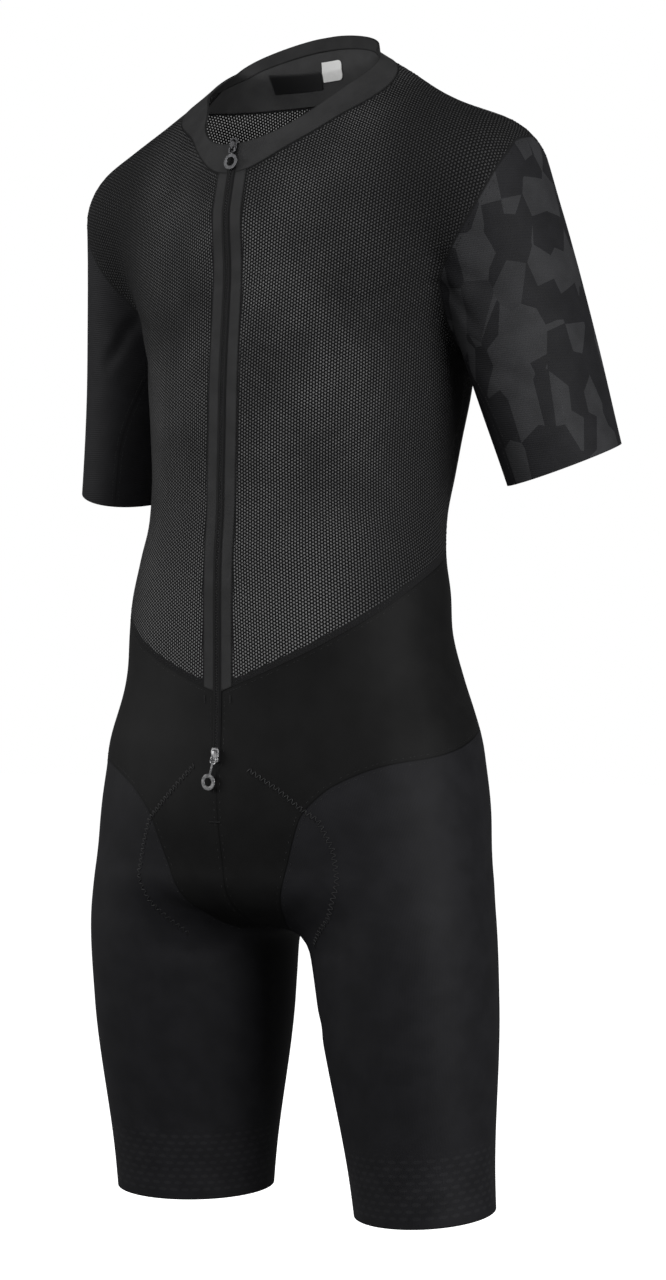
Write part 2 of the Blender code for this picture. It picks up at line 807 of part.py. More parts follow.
def drawn_in(points, normal, point, following, before, seams):
    """How far a rim point moves inside its piece, so that half a seam's gap is left."""
    sides = []
    for a, b in ((before, point), (point, following)):
        along = points[b] - points[a]
        along /= np.linalg.norm(along)
        sides.append((along, np.cross(normal, along), frozenset((a, b)) in seams))
    (t1, d1, seam1), (t2, d2, seam2) = sides
    half = SEAM_GAP / 2
    if seam1 and seam2:
        return (d1 + d2) * half / max(1 + d1 @ d2, 0.05)
    if seam1:
        return t2 * half / max(abs(t2 @ d1), 0.35)
    if seam2:
        return -t1 * half / max(abs(t1 @ d2), 0.35)
    return np.zeros(3)


def thick(places, normals, triangles, rim_sides, outside, inside):
    """A closed wall between two offsets of one surface. Neighbours split their shared sides alike."""
    count = len(places)
    points = np.vstack([places + normals * outside, places - normals * inside])
    faces = [tuple(t) for t in triangles]
    faces += [tuple(count + k for k in t[::-1]) for t in triangles]
    for a, b in rim_sides:
        if a < b:
            faces += [(b, a, count + b), (a, count + a, count + b)]
        else:
            faces += [(b, a, count + a), (b, count + a, count + b)]
    return points, faces


# name: region of the net, cloth, material
PIECES = {
    "collar": ("collar", "collar", "trim_knit"),
    "yoke": ("yoke", "plain", "trim_knit"),
    "back_mesh": ("back", "mesh", "mesh_knit"),
    "front_left": ("front_left", "mesh", "mesh_knit"),
    "front_right": ("front_right", "mesh", "mesh_knit"),
    "sleeve_left": ("sleeve_left", "plain", "sleeve_knit"),
    "sleeve_right": ("sleeve_right", "plain", "sleeve_knit"),
    "underarm_left": ("underarm_left", "plain", "sleeve_knit"),
    "underarm_right": ("underarm_right", "plain", "sleeve_knit"),
    "placket_left": ("placket_left", "placket", "trim_knit"),
    "placket_right": ("placket_right", "placket", "trim_knit"),
    "zip_left": ("strip_left", "zip", "zip_tape"),
    "zip_right": ("strip_right", "zip", "zip_tape"),
    "brief_left": ("brief_left", "plain", "brief_knit"),
    "brief_right": ("brief_right", "plain", "brief_knit"),
    "leg_left": ("leg_left", "plain", "leg_knit"),
    "leg_right": ("leg_right", "plain", "leg_knit"),
}
# colour, roughness, metallic
FINISHES = {
    "trim_knit": ((0.013, 0.013, 0.014), 0.75, 0.0),
    "mesh_knit": ((0.012, 0.012, 0.013), 0.80, 0.0),
    "sleeve_knit": ((0.016, 0.016, 0.018), 0.65, 0.0),
    "zip_tape": ((0.014, 0.014, 0.015), 0.55, 0.0),
    "brief_knit": ((0.009, 0.009, 0.010), 0.60, 0.0),
    "leg_knit": ((0.013, 0.013, 0.015), 0.60, 0.0),
    "label": ((0.010, 0.010, 0.011), 0.60, 0.0),
    "tab": ((0.75, 0.75, 0.75), 0.60, 0.0),
    "dark_metal": ((0.10, 0.10, 0.11), 0.35, 1.0),
    "pale_metal": ((0.50, 0.50, 0.51), 0.30, 1.0),
}
PATCH_FINISH = {"neck_label": "label", "size_tab": "tab"}
SLIDER_FINISH = {"top": "dark_metal", "bottom": "pale_metal"}


def clear_scene():
    for item in list(bpy.data.objects):
        bpy.data.objects.remove(item)


def give_finish(item, finish):
    colour, roughness, metallic = FINISHES[finish]
    material = bpy.data.materials.new(item.name)
    material.use_nodes = True
    shader = material.node_tree.nodes["Principled BSDF"]
    shader.inputs["Base Color"].default_value = (*colour, 1.0)
    shader.inputs["Roughness"].default_value = roughness
    shader.inputs["Metallic"].default_value = metallic
    item.data.materials.append(material)
    item.data.shade_smooth()
    item.data.set_sharp_from_angle(angle=math.radians(50))


def add_object(name, mesh, finish, home):
    item = bpy.data.objects.new(name, mesh)
    home.objects.link(item)
    give_finish(item, finish)
    return item


def mesh_from(name, points, faces):
    mesh = bpy.data.meshes.new(name)
    mesh.from_pydata([tuple(p) for p in points], [], faces)
    return mesh


def patch(low_x, high_x, low_z, high_z, corner):
    """A small flat piece on the inside of the yoke."""
    columns, rows = PATCH_GRID
    middle, half = (low_z + high_z) / 2, (high_z - low_z) / 2
    places = []
    for x in np.linspace(low_x, high_x, columns):
        past = max(x - (high_x - corner), 0)
        reach = half - corner + math.sqrt(corner**2 - past**2)
        places += [(x, middle + share * reach) for share in np.linspace(-1, 1, rows)]
    places = np.array(places)
    starts = np.column_stack([places[:, 0], np.zeros(len(places)), places[:, 1]])
    skin = reach_body(starts, [(0.0, 1.0, 0.0)])
    faces = []
    for column in range(columns - 1):
        for row in range(rows - 1):
            a = column * rows + row
            faces += [(a, a + 1, a + rows + 1), (a, a + rows + 1, a + rows)]
    sides = {side for face in faces for side in sides_of(face)}
    rim = [side for side in sides if side[::-1] not in sides]
    nearest = CLOTH["plain"][1] + PATCH_CLEAR
    return thick(skin, outward(skin), faces, rim, -nearest, nearest + PATCH_THICK)


# ---- hard pieces ----
def solid_of(item):
    """An object's shape as a plain mesh with its loose caps joined on; the object itself is removed."""
    view = bpy.context.evaluated_depsgraph_get()
    mesh = bpy.data.meshes.new_from_object(item.evaluated_get(view))
    bpy.data.objects.remove(item)
    shape = bmesh.new()
    shape.from_mesh(mesh)
    bmesh.ops.remove_doubles(shape, verts=shape.verts, dist=1e-6)
    bmesh.ops.recalc_face_normals(shape, faces=shape.faces)
    shape.to_mesh(mesh)
    shape.free()
    return mesh


def curve_solid(rings, home, **settings):
    """A curve through rings of points: filled and given thickness if flat, a closed wire if not."""
    curve = bpy.data.curves.new("outline", "CURVE")
    for key, value in settings.items():
        setattr(curve, key, value)
    for ring in rings:
        spline = curve.splines.new("POLY")
        spline.points.add(len(ring) - 1)
        for point, place in zip(spline.points, ring):
            point.co = (*place, 0.0, 1.0)
        spline.use_cyclic_u = True
    item = bpy.data.objects.new("outline", curve)
    home.objects.link(item)
    return solid_of(item)


def flat_solid(rings, thickness, home, edge=EDGE_ROUND):
    """A flat outline with thickness, its holes left open and its edges slightly rounded."""
    size = dict(extrude=thickness / 2 - edge, bevel_depth=edge, offset=-edge, bevel_resolution=0)
    return curve_solid(rings, home, dimensions="2D", fill_mode="BOTH", **size)


def united(meshes, home):
    """One mesh from several that overlap."""
    items = []
    for mesh in meshes:
        item = bpy.data.objects.new("part", mesh)
        home.objects.link(item)
        items.append(item)
    first = items[0]
    for other in items[1:]:
        join = first.modifiers.new("join", "BOOLEAN")
        join.operation = "UNION"
        join.object = other
    mesh = solid_of(first)
    for other in items[1:]:
        bpy.data.objects.remove(other)
    return mesh


def arc(centre, radius, first, last, steps):
    turns = np.radians(np.linspace(first, last, steps))
    return [(centre[0] + radius * math.cos(t), centre[1] + radius * math.sin(t)) for t in turns]


def bridge_side(half_length, rise):
    """Half an oval in the plane of the zip's length and the way out, from its upper to its lower end."""
    turns = np.linspace(0, math.pi, BRIDGE_STEPS)
    power = 2 / BRIDGE_SQUARE
    return [
        (half_length * math.copysign(abs(math.cos(t)) ** power, math.cos(t)), rise * math.sin(t) ** power)
        for t in turns
    ]


def slider_mesh(home):
    right = [(half, along) for along, half in SLIDER_OUTLINE]
    left = [(-half, along) for along, half in SLIDER_OUTLINE[::-1]]
    plate = flat_solid([right + left], SLIDER_THICK, home)
    plate.transform(Matrix.Translation((0, 0, SLIDER_THICK / 2)))
    outer = bridge_side(BRIDGE_LENGTH / 2, BRIDGE_RISE)
    inner = bridge_side(BRIDGE_LENGTH / 2 - BRIDGE_THICK, BRIDGE_RISE - BRIDGE_THICK)
    foot = -SLIDER_THICK / 2
    outer = [(outer[0][0], foot)] + outer + [(outer[-1][0], foot)]
    inner = [(inner[0][0], foot)] + inner + [(inner[-1][0], foot)]
    bridge = flat_solid([outer + inner[::-1]], BRIDGE_WIDTH, home)
    upright = Matrix(((0, 0, 1, 0), (1, 0, 0, 0), (0, 1, 0, SLIDER_THICK), (0, 0, 0, 1)))
    bridge.transform(upright)
    return united([plate, bridge], home)


def pull_mesh(link, home):
    """A wire eye, a short link and a ring, hanging down from the eye's crossbar at the origin."""
    half, low = EYE_WIDTH / 2 - EYE_CORNER, EYE_CORNER - EYE_LENGTH
    corners = ((half, -EYE_CORNER), (-half, -EYE_CORNER), (-half, low), (half, low))
    eye = []
    for centre, first in zip(corners, (0, 90, 180, 270)):
        eye += arc(centre, EYE_CORNER, first, first + 90, 3)
    wire = curve_solid([eye], home, dimensions="3D", bevel_depth=WIRE_RADIUS, bevel_resolution=2)
    middle = ring_middle(link)
    edges = [arc((0, middle), radius, 0, 345, 24) for radius in (RING_RADIUS, RING_HOLE)]
    ring = flat_solid(edges, RING_THICK, home)
    side, top, bottom = LINK_WIDTH / 2, -EYE_LENGTH, middle + (RING_RADIUS + RING_HOLE) / 2
    bar = flat_solid([[(side, bottom), (side, top), (-side, top), (-side, bottom)]], LINK_THICK, home)
    return united([ring, bar, wire], home)


def ring_middle(link):
    return -(EYE_LENGTH + WIRE_RADIUS + link + RING_RADIUS)


def front_point(height):
    return reach_body([(0.0, 0.020, height)], [(0.0, -1.0, 0.0)])[0]


def slider_frame(height):
    """Where a slider's plate lies, clear of the zip, and its axes: across, up along the zip and out."""
    place = front_point(height)
    reach = SLIDER_OUTLINE[-1][0]
    up = front_point(height + reach) - front_point(height - reach)
    up /= np.linalg.norm(up)
    across = np.array((1.0, 0.0, 0.0))
    out = np.cross(across, up)
    along = [front_point(height + share * reach) for share in np.linspace(-1, 1, 9)]
    highest = max((point - place) @ out for point in along)
    return place + out * (highest + CLOTH["zip"][0] + SEAM_GAP), across, up, out


def pull_frame(height, link, lean):
    """The middle of a pull's crossbar, and the pull's axes as it hangs: crossbar, up and out."""
    place, across, up, out = slider_frame(height)
    hinge = place + up * HINGE_ALONG + out * (SLIDER_THICK + HINGE_OUT)
    turn = math.radians(lean)
    along = across * math.cos(turn) - up * math.sin(turn)
    upward = across * math.sin(turn) + up * math.cos(turn)
    ring = hinge + upward * ring_middle(link)
    below = front_point(ring[2])
    clear = below + outward(below[None])[0] * RING_CLEAR
    clear[0] = ring[0]
    upward = hinge - clear
    upward -= along * (upward @ along)
    upward /= np.linalg.norm(upward)
    return hinge, along, upward, np.cross(along, upward)


def placed(frame):
    place, *axes = frame
    return Matrix([(*(axis[k] for axis in axes), place[k]) for k in range(3)] + [(0, 0, 0, 1)])


def build():
    clear_scene()
    home = bpy.data.collections.new("roadsuit")
    bpy.context.scene.collection.children.link(home)
    net = sewn_net(2)
    for name, (region, cloth, finish) in PIECES.items():
        add_object(name, mesh_from(name, *wall(net, region, *CLOTH[cloth])), finish, home)
    for name, sizes in PATCHES.items():
        add_object(name, mesh_from(name, *patch(*sizes)), PATCH_FINISH[name], home)
    for end, (height, link, lean) in SLIDERS.items():
        slider = add_object("slider_" + end, slider_mesh(home), SLIDER_FINISH[end], home)
        slider.matrix_world = placed(slider_frame(height))
        pull = add_object("pull_" + end, pull_mesh(link, home), SLIDER_FINISH[end], home)
        pull.matrix_world = placed(pull_frame(height, link, lean))


if __name__ == "__main__":
    build()
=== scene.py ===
"""The roadsuit as it looks: fine cloth on every sewn piece, stitched seams, a coil zip, and a pale studio.

Metres, in the part's own frame: +X is the wearer's left, -Y the front, +Z up. All cloth follows one smooth
figure. Each sewn piece takes its outline from its solid, is divided more finely, laid on the figure and given
folds, a pressed-in edge at its seams and a thickness.
"""

import json
import math

import bmesh
import bpy
import numpy as np
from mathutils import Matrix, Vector, kdtree

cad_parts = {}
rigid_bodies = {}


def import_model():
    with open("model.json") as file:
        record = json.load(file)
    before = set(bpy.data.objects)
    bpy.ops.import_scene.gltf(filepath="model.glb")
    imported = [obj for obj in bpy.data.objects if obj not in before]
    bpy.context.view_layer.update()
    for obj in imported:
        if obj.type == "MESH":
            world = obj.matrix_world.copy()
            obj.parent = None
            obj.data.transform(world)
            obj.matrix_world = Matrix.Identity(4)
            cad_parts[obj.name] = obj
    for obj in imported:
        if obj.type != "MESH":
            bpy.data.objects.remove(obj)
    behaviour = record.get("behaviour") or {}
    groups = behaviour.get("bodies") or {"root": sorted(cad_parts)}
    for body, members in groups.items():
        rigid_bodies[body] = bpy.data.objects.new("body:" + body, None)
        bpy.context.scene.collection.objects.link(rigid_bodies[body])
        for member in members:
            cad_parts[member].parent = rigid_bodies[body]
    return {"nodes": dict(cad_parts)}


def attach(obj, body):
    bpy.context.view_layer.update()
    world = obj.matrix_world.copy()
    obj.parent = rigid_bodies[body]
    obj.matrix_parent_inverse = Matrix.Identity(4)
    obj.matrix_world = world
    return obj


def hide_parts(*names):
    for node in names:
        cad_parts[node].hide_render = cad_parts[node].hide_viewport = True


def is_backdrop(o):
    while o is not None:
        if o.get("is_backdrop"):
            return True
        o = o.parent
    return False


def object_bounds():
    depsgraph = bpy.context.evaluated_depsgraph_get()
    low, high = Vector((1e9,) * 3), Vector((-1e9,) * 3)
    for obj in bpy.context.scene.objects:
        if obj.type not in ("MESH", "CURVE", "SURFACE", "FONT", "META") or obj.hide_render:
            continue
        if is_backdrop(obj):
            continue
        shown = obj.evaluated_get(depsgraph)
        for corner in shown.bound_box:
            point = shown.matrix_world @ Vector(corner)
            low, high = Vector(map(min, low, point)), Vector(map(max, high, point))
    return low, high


for item in list(bpy.data.objects):
    bpy.data.objects.remove(item)
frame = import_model()
size_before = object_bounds()

# ---- figure ----
# height, half width, depth in front of the centre, depth behind it, centre's y, squareness
TRUNK = (
    (-0.645, 0.155, 0.097, 0.106, 0.006, 2.2),
    (-0.600, 0.163, 0.107, 0.119, 0.008, 2.2),
    (-0.550, 0.157, 0.110, 0.120, 0.010, 2.2),
    (-0.520, 0.153, 0.109, 0.114, 0.010, 2.2),
    (-0.485, 0.151, 0.105, 0.104, 0.006, 2.1),
    (-0.450, 0.147, 0.100, 0.096, 0.001, 2.1),
    (-0.420, 0.146, 0.101, 0.097, 0.002, 2.0),
    (-0.390, 0.139, 0.104, 0.096, 0.006, 2.0),
    (-0.355, 0.133, 0.110, 0.100, 0.015, 2.0),
    (-0.320, 0.133, 0.116, 0.112, 0.022, 2.0),
    (-0.290, 0.137, 0.120, 0.112, 0.027, 2.0),
    (-0.255, 0.142, 0.124, 0.115, 0.032, 2.0),
    (-0.210, 0.146, 0.122, 0.120, 0.033, 2.1),
    (-0.160, 0.160, 0.116, 0.117, 0.032, 2.2),
    (-0.120, 0.173, 0.106, 0.110, 0.028, 2.2),
    (-0.080, 0.181, 0.085, 0.097, 0.020, 2.2),
    (-0.050, 0.178, 0.062, 0.070, 0.014, 2.2),
    (-0.030, 0.160, 0.048, 0.055, 0.013, 2.1),
    (-0.010, 0.132, 0.040, 0.048, 0.017, 2.0),
    (0.010, 0.102, 0.036, 0.042, 0.024, 2.0),
    (0.030, 0.070, 0.028, 0.032, 0.026, 2.0),
)
SEAT_DROP = 0.050  # how far the trunk's rounded end reaches below its lowest section

# distance along the limb, half width across it, half depth, turn of the section in degrees
NECK = (
    (0.000, 0.052, 0.053, 0.0),
    (0.030, 0.056, 0.057, 0.0),
    (0.060, 0.060, 0.061, 0.0),
    (0.100, 0.062, 0.064, 0.0),
    (0.140, 0.066, 0.070, 0.0),
    (0.190, 0.074, 0.080, 0.0),
)
ARM = (
    (0.000, 0.053, 0.064, 0.0),
    (0.080, 0.050, 0.061, -15.0),
    (0.160, 0.046, 0.058, -20.0),
    (0.240, 0.044, 0.054, -15.0),
    (0.300, 0.044, 0.052, -10.0),
)
LEG = (
    (0.000, 0.072, 0.070, 45.0),
    (0.060, 0.074, 0.080, 45.0),
    (0.120, 0.076, 0.089, 45.0),
    (0.200, 0.073, 0.087, 45.0),
    (0.340, 0.059, 0.070, 45.0),
    (0.420, 0.056, 0.064, 45.0),
)
NECK_TOP = (0.0, -0.007, 0.080)
NECK_END = (0.0, -0.003, -0.150)
ARM_TOP = (0.168, 0.033, -0.088)
ARM_END = (0.221, 0.072, -0.314)
LEG_TOP = (0.099, 0.002, -0.560)
LEG_END = (0.1165, 0.0275, -0.920)
NECK_BLEND = 0.040
LEG_BLEND = 0.048
SHOULDER_BLEND = 0.050
ARMPIT_BLEND = 0.018
SHOULDER_Z = -0.100  # above this height arm and trunk blend softly, below the armpit they part sharply
ARMPIT_Z = -0.185
SLOPE_REACH = 0.0004


def smooth(rows, at):
    """The columns of a table at the given places, on a smooth curve through its rows."""
    rows = np.array(rows, float)
    place, value = rows[:, 0], rows[:, 1:]
    slope = np.gradient(value, place, axis=0)
    low = np.clip(np.searchsorted(place, at) - 1, 0, len(place) - 2)
    step = place[low + 1] - place[low]
    t = np.clip((at - place[low]) / step, 0, 1)[:, None]
    step = step[:, None]
    rise = value[low + 1] - value[low]
    bend = (1 - t) * (slope[low] * step - rise) - t * (slope[low + 1] * step - rise)
    return (value[low] + t * rise + t * (1 - t) * bend).T


def oval_field(across, deep, beyond, half, depth, end, square):
    """Distance outside a rounded tube, measured from the middle of its nearest section."""
    far = np.sqrt(across**2 + deep**2 + beyond**2) + 1e-9
    share = (
        np.abs(across / half) ** square
        + np.abs(deep / depth) ** square
        + np.abs(beyond / end) ** square
    ) ** (1 / square)
    return far - far / np.maximum(share, 1e-6)


def trunk_field(points):
    x, y, z = points.T
    level = np.clip(z, TRUNK[0][0], TRUNK[-1][0])
    half, front, back, centre, square = smooth(TRUNK, level)
    deep = y - centre
    return oval_field(x, deep, z - level, half, np.where(deep < 0, front, back), SEAT_DROP, square)


def limb_frame(top, end):
    """A limb's direction down its axis, and the two directions across it: outward and backward."""
    down = np.subtract(end, top)
    down /= np.linalg.norm(down)
    out = np.cross((0.0, 1.0, 0.0), -down)
    out /= np.linalg.norm(out)
    return down, out, np.cross(out, down)


def limb_field(points, top, end, rows):
    down, out, back = limb_frame(top, end)
    offset = points - np.array(top)
    along = offset @ down
    at = np.clip(along, rows[0][0], rows[-1][0])
    half, depth, turn = smooth(rows, at)
    turn = np.radians(turn)
    across, deep = offset @ out, offset @ back
    across, deep = (
        across * np.cos(turn) + deep * np.sin(turn),
        deep * np.cos(turn) - across * np.sin(turn),
    )
    return oval_field(across, deep, along - at, half, depth, half, 2.0)


def blend(a, b, width):
    """The nearer of two distances, rounded where they are alike."""
    near = np.maximum(width - np.abs(a - b), 0) / width
    return np.minimum(a, b) - near**3 * width / 6


def folded(points):
    """The points with the wearer's right side folded onto the left."""
    return np.column_stack([np.abs(points[:, 0]), points[:, 1:]])


def core_field(points):
    """The figure without its arms."""
    left = folded(points)
    neck = limb_field(points, NECK_TOP, NECK_END, NECK)
    near_leg = limb_field(left, LEG_TOP, LEG_END, LEG)
    far_leg = limb_field(left * (-1, 1, 1), LEG_TOP, LEG_END, LEG)
    legs = blend(near_leg, far_leg, LEG_BLEND)
    return blend(blend(trunk_field(points), neck, NECK_BLEND), legs, LEG_BLEND)


def body_field(points):
    """Distance outside the whole figure: negative inside, positive outside, 0 on the figure's skin."""
    rise = np.clip((points[:, 2] - ARMPIT_Z) / (SHOULDER_Z - ARMPIT_Z), 0, 1)
    width = ARMPIT_BLEND + (SHOULDER_BLEND - ARMPIT_BLEND) * rise * rise * (3 - 2 * rise)
    arms = limb_field(folded(points), ARM_TOP, ARM_END, ARM)
    return blend(core_field(points), arms, width)


def field_slope(points):
    """The field's gradient at each point."""
    rises = [body_field(points + s) - body_field(points - s) for s in np.eye(3) * SLOPE_REACH]
    return np.stack([rise / (2 * SLOPE_REACH) for rise in rises], axis=1)


def units(vectors):
    return vectors / np.linalg.norm(vectors, axis=1)[:, None]


def outward(points):
    """The figure's unit normal at each point."""
    return units(field_slope(points))


def onto_body(points, rounds=5):
    """The points moved onto the figure, each along the figure's own gradient."""
    for _ in range(rounds):
        slope = field_slope(points)
        points = points - slope * (body_field(points) / (slope**2).sum(1))[:, None]
    return points


# ---- cloth: how far each wall stands outside the figure, and how far it reaches inside ----
CLOTH = {
    "plain": (0.0, 0.0009),
    "mesh": (0.0, 0.0008),
    "collar": (0.0006, 0.0012),
    "placket": (0.0004, 0.0010),
    "zip": (0.0009, 0.0006),
}
# node: cloth, material slot, finish
SINGLE = {
    "collar": ("collar", "trim_knit", "trim"),
    "yoke": ("plain", "trim_knit", "yoke"),
    "back_mesh": ("mesh", "mesh_knit", "mesh"),
}
PAIRED = {
    "front": ("mesh", "mesh_knit", "mesh"),
    "sleeve": ("plain", "sleeve_knit", "sleeve"),
    "underarm": ("plain", "sleeve_knit", "sleeve"),
    "zip": ("zip", "zip_tape", "zip"),
    "placket": ("placket", "trim_knit", "trim"),
    "brief": ("plain", "brief_knit", "brief"),
    "leg": ("plain", "leg_knit", "leg"),
}
PIECES = SINGLE | {f"{name}_{side}": kind for name, kind in PAIRED.items() for side in ("left", "right")}
PIECES["sleeve_left"] = ("plain", "print_knit", "print")
STITCHED = [name for name in PIECES if not name.startswith(("zip", "placket", "collar"))]

SEAM_REACH = 0.0007  # edges of two pieces this near each other are sewn together
SEAM_RING = 0.0013  # width of the pressed-in edge
SEAM_DIP = 0.00055
SEWN_GAP = 0.0012  # edges this near another piece's edge are pressed in
ON_RIM = 1e-5
CLOSE_STITCH = 2 * SEAM_REACH
STRAIGHT_EDGE = 0.80  # least cosine of an edge's turn along which stitches run
SMOOTH_RIM = 0.88  # least cosine of an edge's turn that is a curve and no corner
SHARP_ANGLE = math.radians(40)
ZIP_HALF = 0.0037
ZIP_SLIT = 0.0006
ZIP_INNER_RISE = 0.0008  # widths of the slopes at the tape's two edges
ZIP_OUTER_RISE = 0.0007
ZIP_DIP = 0.0006
ZIP_CROWN = 0.0007
STITCH_PITCH = 0.0030
STITCH_LENGTH = 0.0022
STITCH_RADIUS = 0.00018
STITCH_INSET = 0.0030
STITCH_LIFT = 0.4 * STITCH_RADIUS
WAIST_BAND = 0.0040
WAIST_NEAR = 0.003
LEG_LENGTH = 0.365
# angle from the front in degrees, height of the waist seam
WAIST_SEAM = (
    (0, -0.501), (20, -0.488), (45, -0.466), (65, -0.440),
    (85, -0.409), (100, -0.393), (130, -0.385), (180, -0.385),
)

# ---- folds: start, end, half width, height (a groove where it is less than 0) ----
FOLDS = (
    ((0.152, -0.018, -0.178), (0.186, -0.002, -0.212), 0.0065, -0.0022),
    ((0.158, -0.024, -0.160), (0.206, -0.004, -0.188), 0.0085, -0.0014),
    ((0.172, 0.000, -0.222), (0.222, 0.040, -0.262), 0.0100, -0.0012),
    ((0.148, -0.030, -0.180), (0.085, -0.095, -0.205), 0.0100, -0.0018),
    ((0.146, -0.030, -0.200), (0.100, -0.085, -0.250), 0.0110, -0.0016),
    ((-0.152, -0.018, -0.178), (-0.190, -0.002, -0.214), 0.0070, -0.0020),
    ((-0.148, -0.030, -0.182), (-0.080, -0.095, -0.210), 0.0100, -0.0018),
    ((-0.146, -0.030, -0.205), (-0.100, -0.085, -0.265), 0.0110, -0.0015),
    ((0.030, -0.100, -0.335), (0.125, -0.060, -0.352), 0.0140, -0.0014),
    ((0.030, -0.098, -0.392), (0.128, -0.050, -0.376), 0.0130, 0.0012),
    ((-0.030, -0.100, -0.345), (-0.118, -0.060, -0.362), 0.0140, -0.0014),
    ((0.022, -0.060, -0.700), (0.085, -0.080, -0.655), 0.0080, -0.0016),
    ((0.024, -0.045, -0.722), (0.090, -0.075, -0.705), 0.0090, -0.0014),
    ((-0.022, -0.060, -0.700), (-0.080, -0.080, -0.662), 0.0080, -0.0016),
    ((-0.024, -0.045, -0.722), (-0.088, -0.075, -0.712), 0.0090, -0.0014),
    ((0.046, 0.000, -0.775), (0.080, -0.060, -0.762), 0.0100, -0.0011),
    ((0.060, 0.120, -0.200), (0.146, 0.090, -0.188), 0.0120, -0.0016),
    ((-0.060, 0.120, -0.206), (-0.146, 0.090, -0.194), 0.0120, -0.0016),
    ((0.020, 0.120, -0.655), (0.110, 0.105, -0.672), 0.0120, -0.0014),
    ((-0.020, 0.120, -0.660), (-0.110, 0.105, -0.668), 0.0120, -0.0014),
)
FOLD_STEPS = 9
FOLD_START = 0.10  # where on half a sine wave a fold starts and ends
FOLD_END = 0.90
FOLD_TAPER = 0.8
FOLD_CROSS = 1.6
FOLD_FADE = 1.3
FOLD_LINES = [(onto_body(np.linspace(start, end, FOLD_STEPS)), *size) for start, end, *size in FOLDS]


def fold_height(points):
    """How far the folds lift or press the cloth at each point."""
    total = np.zeros(len(points))
    for line, half, height in FOLD_LINES:
        nearest = np.full(len(points), np.inf)
        share = np.zeros(len(points))
        for k, (a, b) in enumerate(zip(line[:-1], line[1:])):
            run = b - a
            t = np.clip((points - a) @ run / (run @ run), 0, 1)
            far = np.linalg.norm(points - a - t[:, None] * run, axis=1)
            share = np.where(far < nearest, (k + t) / (FOLD_STEPS - 1), share)
            nearest = np.minimum(far, nearest)
        far = nearest / half
        taper = np.sin(math.pi * (FOLD_START + (FOLD_END - FOLD_START) * share)) ** FOLD_TAPER
        total += height * taper * (1 - far**2 / FOLD_CROSS) * np.exp(-(far**2) / FOLD_FADE)
    return total


# ---- skins: the outer face of each piece as points and triangles on the figure ----
def sides_of(faces):
    return np.vstack([faces[:, [0, 1]], faces[:, [1, 2]], faces[:, [2, 0]]])


def rim_edges(faces):
    """The directed sides that only one triangle has, with the piece on their left."""
    sides = sides_of(faces)
    count = faces.max() + 1
    forward, backward = sides[:, 0] * count + sides[:, 1], sides[:, 1] * count + sides[:, 0]
    return sides[~np.isin(forward, backward)]


def compact(points, faces):
    used, index = np.unique(faces, return_inverse=True)
    return points[used], index.reshape(-1, 3)


def outer_skin(name):
    """The outer face of a piece's solid, laid on the figure."""
    mesh = frame["nodes"][name].data
    corners = np.empty(len(mesh.vertices) * 3, np.float32)
    mesh.vertices.foreach_get("co", corners)
    loops = np.empty(len(mesh.loops), np.int32)
    mesh.loops.foreach_get("vertex_index", loops)
    points, index = np.unique(corners.reshape(-1, 3), axis=0, return_inverse=True)
    faces = index.ravel()[loops].reshape(-1, 3)
    points = points.astype(float)
    outside, inside = CLOTH[PIECES[name][0]]
    outer = body_field(points) > (outside - inside) / 2
    points, faces = compact(points, faces[outer[faces].all(axis=1)])
    return onto_body(points), faces


def close_seams(skins):
    """Edge points of neighbouring pieces that belong together are moved to one place."""
    rims = {name: np.unique(rim_edges(faces)) for name, (_, faces) in skins.items()}
    trees = {name: nearest_tree(skins[name][0][rim]) for name, rim in rims.items()}
    moved = {name: points.copy() for name, (points, _) in skins.items()}
    for name, rim in rims.items():
        for number, k in enumerate(rim):
            place = skins[name][0][k]
            group = [place]
            for other, tree in trees.items():
                if other != name:
                    found, _, gap = tree.find(place)
                    back = trees[name].find(found)[1]
                    if gap < SEAM_REACH and back == number:
                        group.append(np.array(found))
            moved[name][k] = np.mean(group, axis=0)
    return {name: (onto_body(moved[name]), faces) for name, (_, faces) in skins.items()}


def refined(points, faces):
    """Each triangle in four. The middles of rim sides follow a smooth curve through their neighbours."""
    unique, index = np.unique(np.sort(sides_of(faces), axis=1), axis=0, return_inverse=True)
    index = index.ravel().reshape(3, -1).T
    middles = points[unique].mean(axis=1)
    rim = rim_edges(faces)
    following, before = dict(rim.tolist()), dict(rim[:, ::-1].tolist())
    number = {tuple(pair): k for k, pair in enumerate(unique.tolist())}
    for a, b in rim.tolist():
        previous, nxt = points[before[a]], points[following[b]]
        run = points[b] - points[a]
        bend = [unit(points[a] - previous) @ unit(run), unit(nxt - points[b]) @ unit(run)]
        if min(bend) > SMOOTH_RIM:
            middle = (9 * (points[a] + points[b]) - previous - nxt) / 16
            middles[number[(min(a, b), max(a, b))]] = middle
    count = len(points)
    ab, bc, ca = (count + index).T
    a, b, c = faces.T
    finer = np.vstack([np.column_stack(t) for t in ((a, ab, ca), (ab, b, bc), (ca, bc, c), (ab, bc, ca))])
    return np.vstack([points, onto_body(middles, 3)]), finer, unique


def unit(vector):
    return vector / (np.linalg.norm(vector) + 1e-12)


def area_of(points, faces):
    a, b, c = (points[faces[:, k]] for k in range(3))
    return np.linalg.norm(np.cross(b - a, c - a), axis=1).sum() / 2


def mesh_of(name, points, faces):
    mesh = bpy.data.meshes.new(name)
    mesh.from_pydata(points.tolist(), [], faces.tolist())
    mesh.shade_smooth()
    return mesh


def placed(name, data):
    """A new object in the scene."""
    item = bpy.data.objects.new(name, data)
    bpy.context.scene.collection.objects.link(item)
    return item


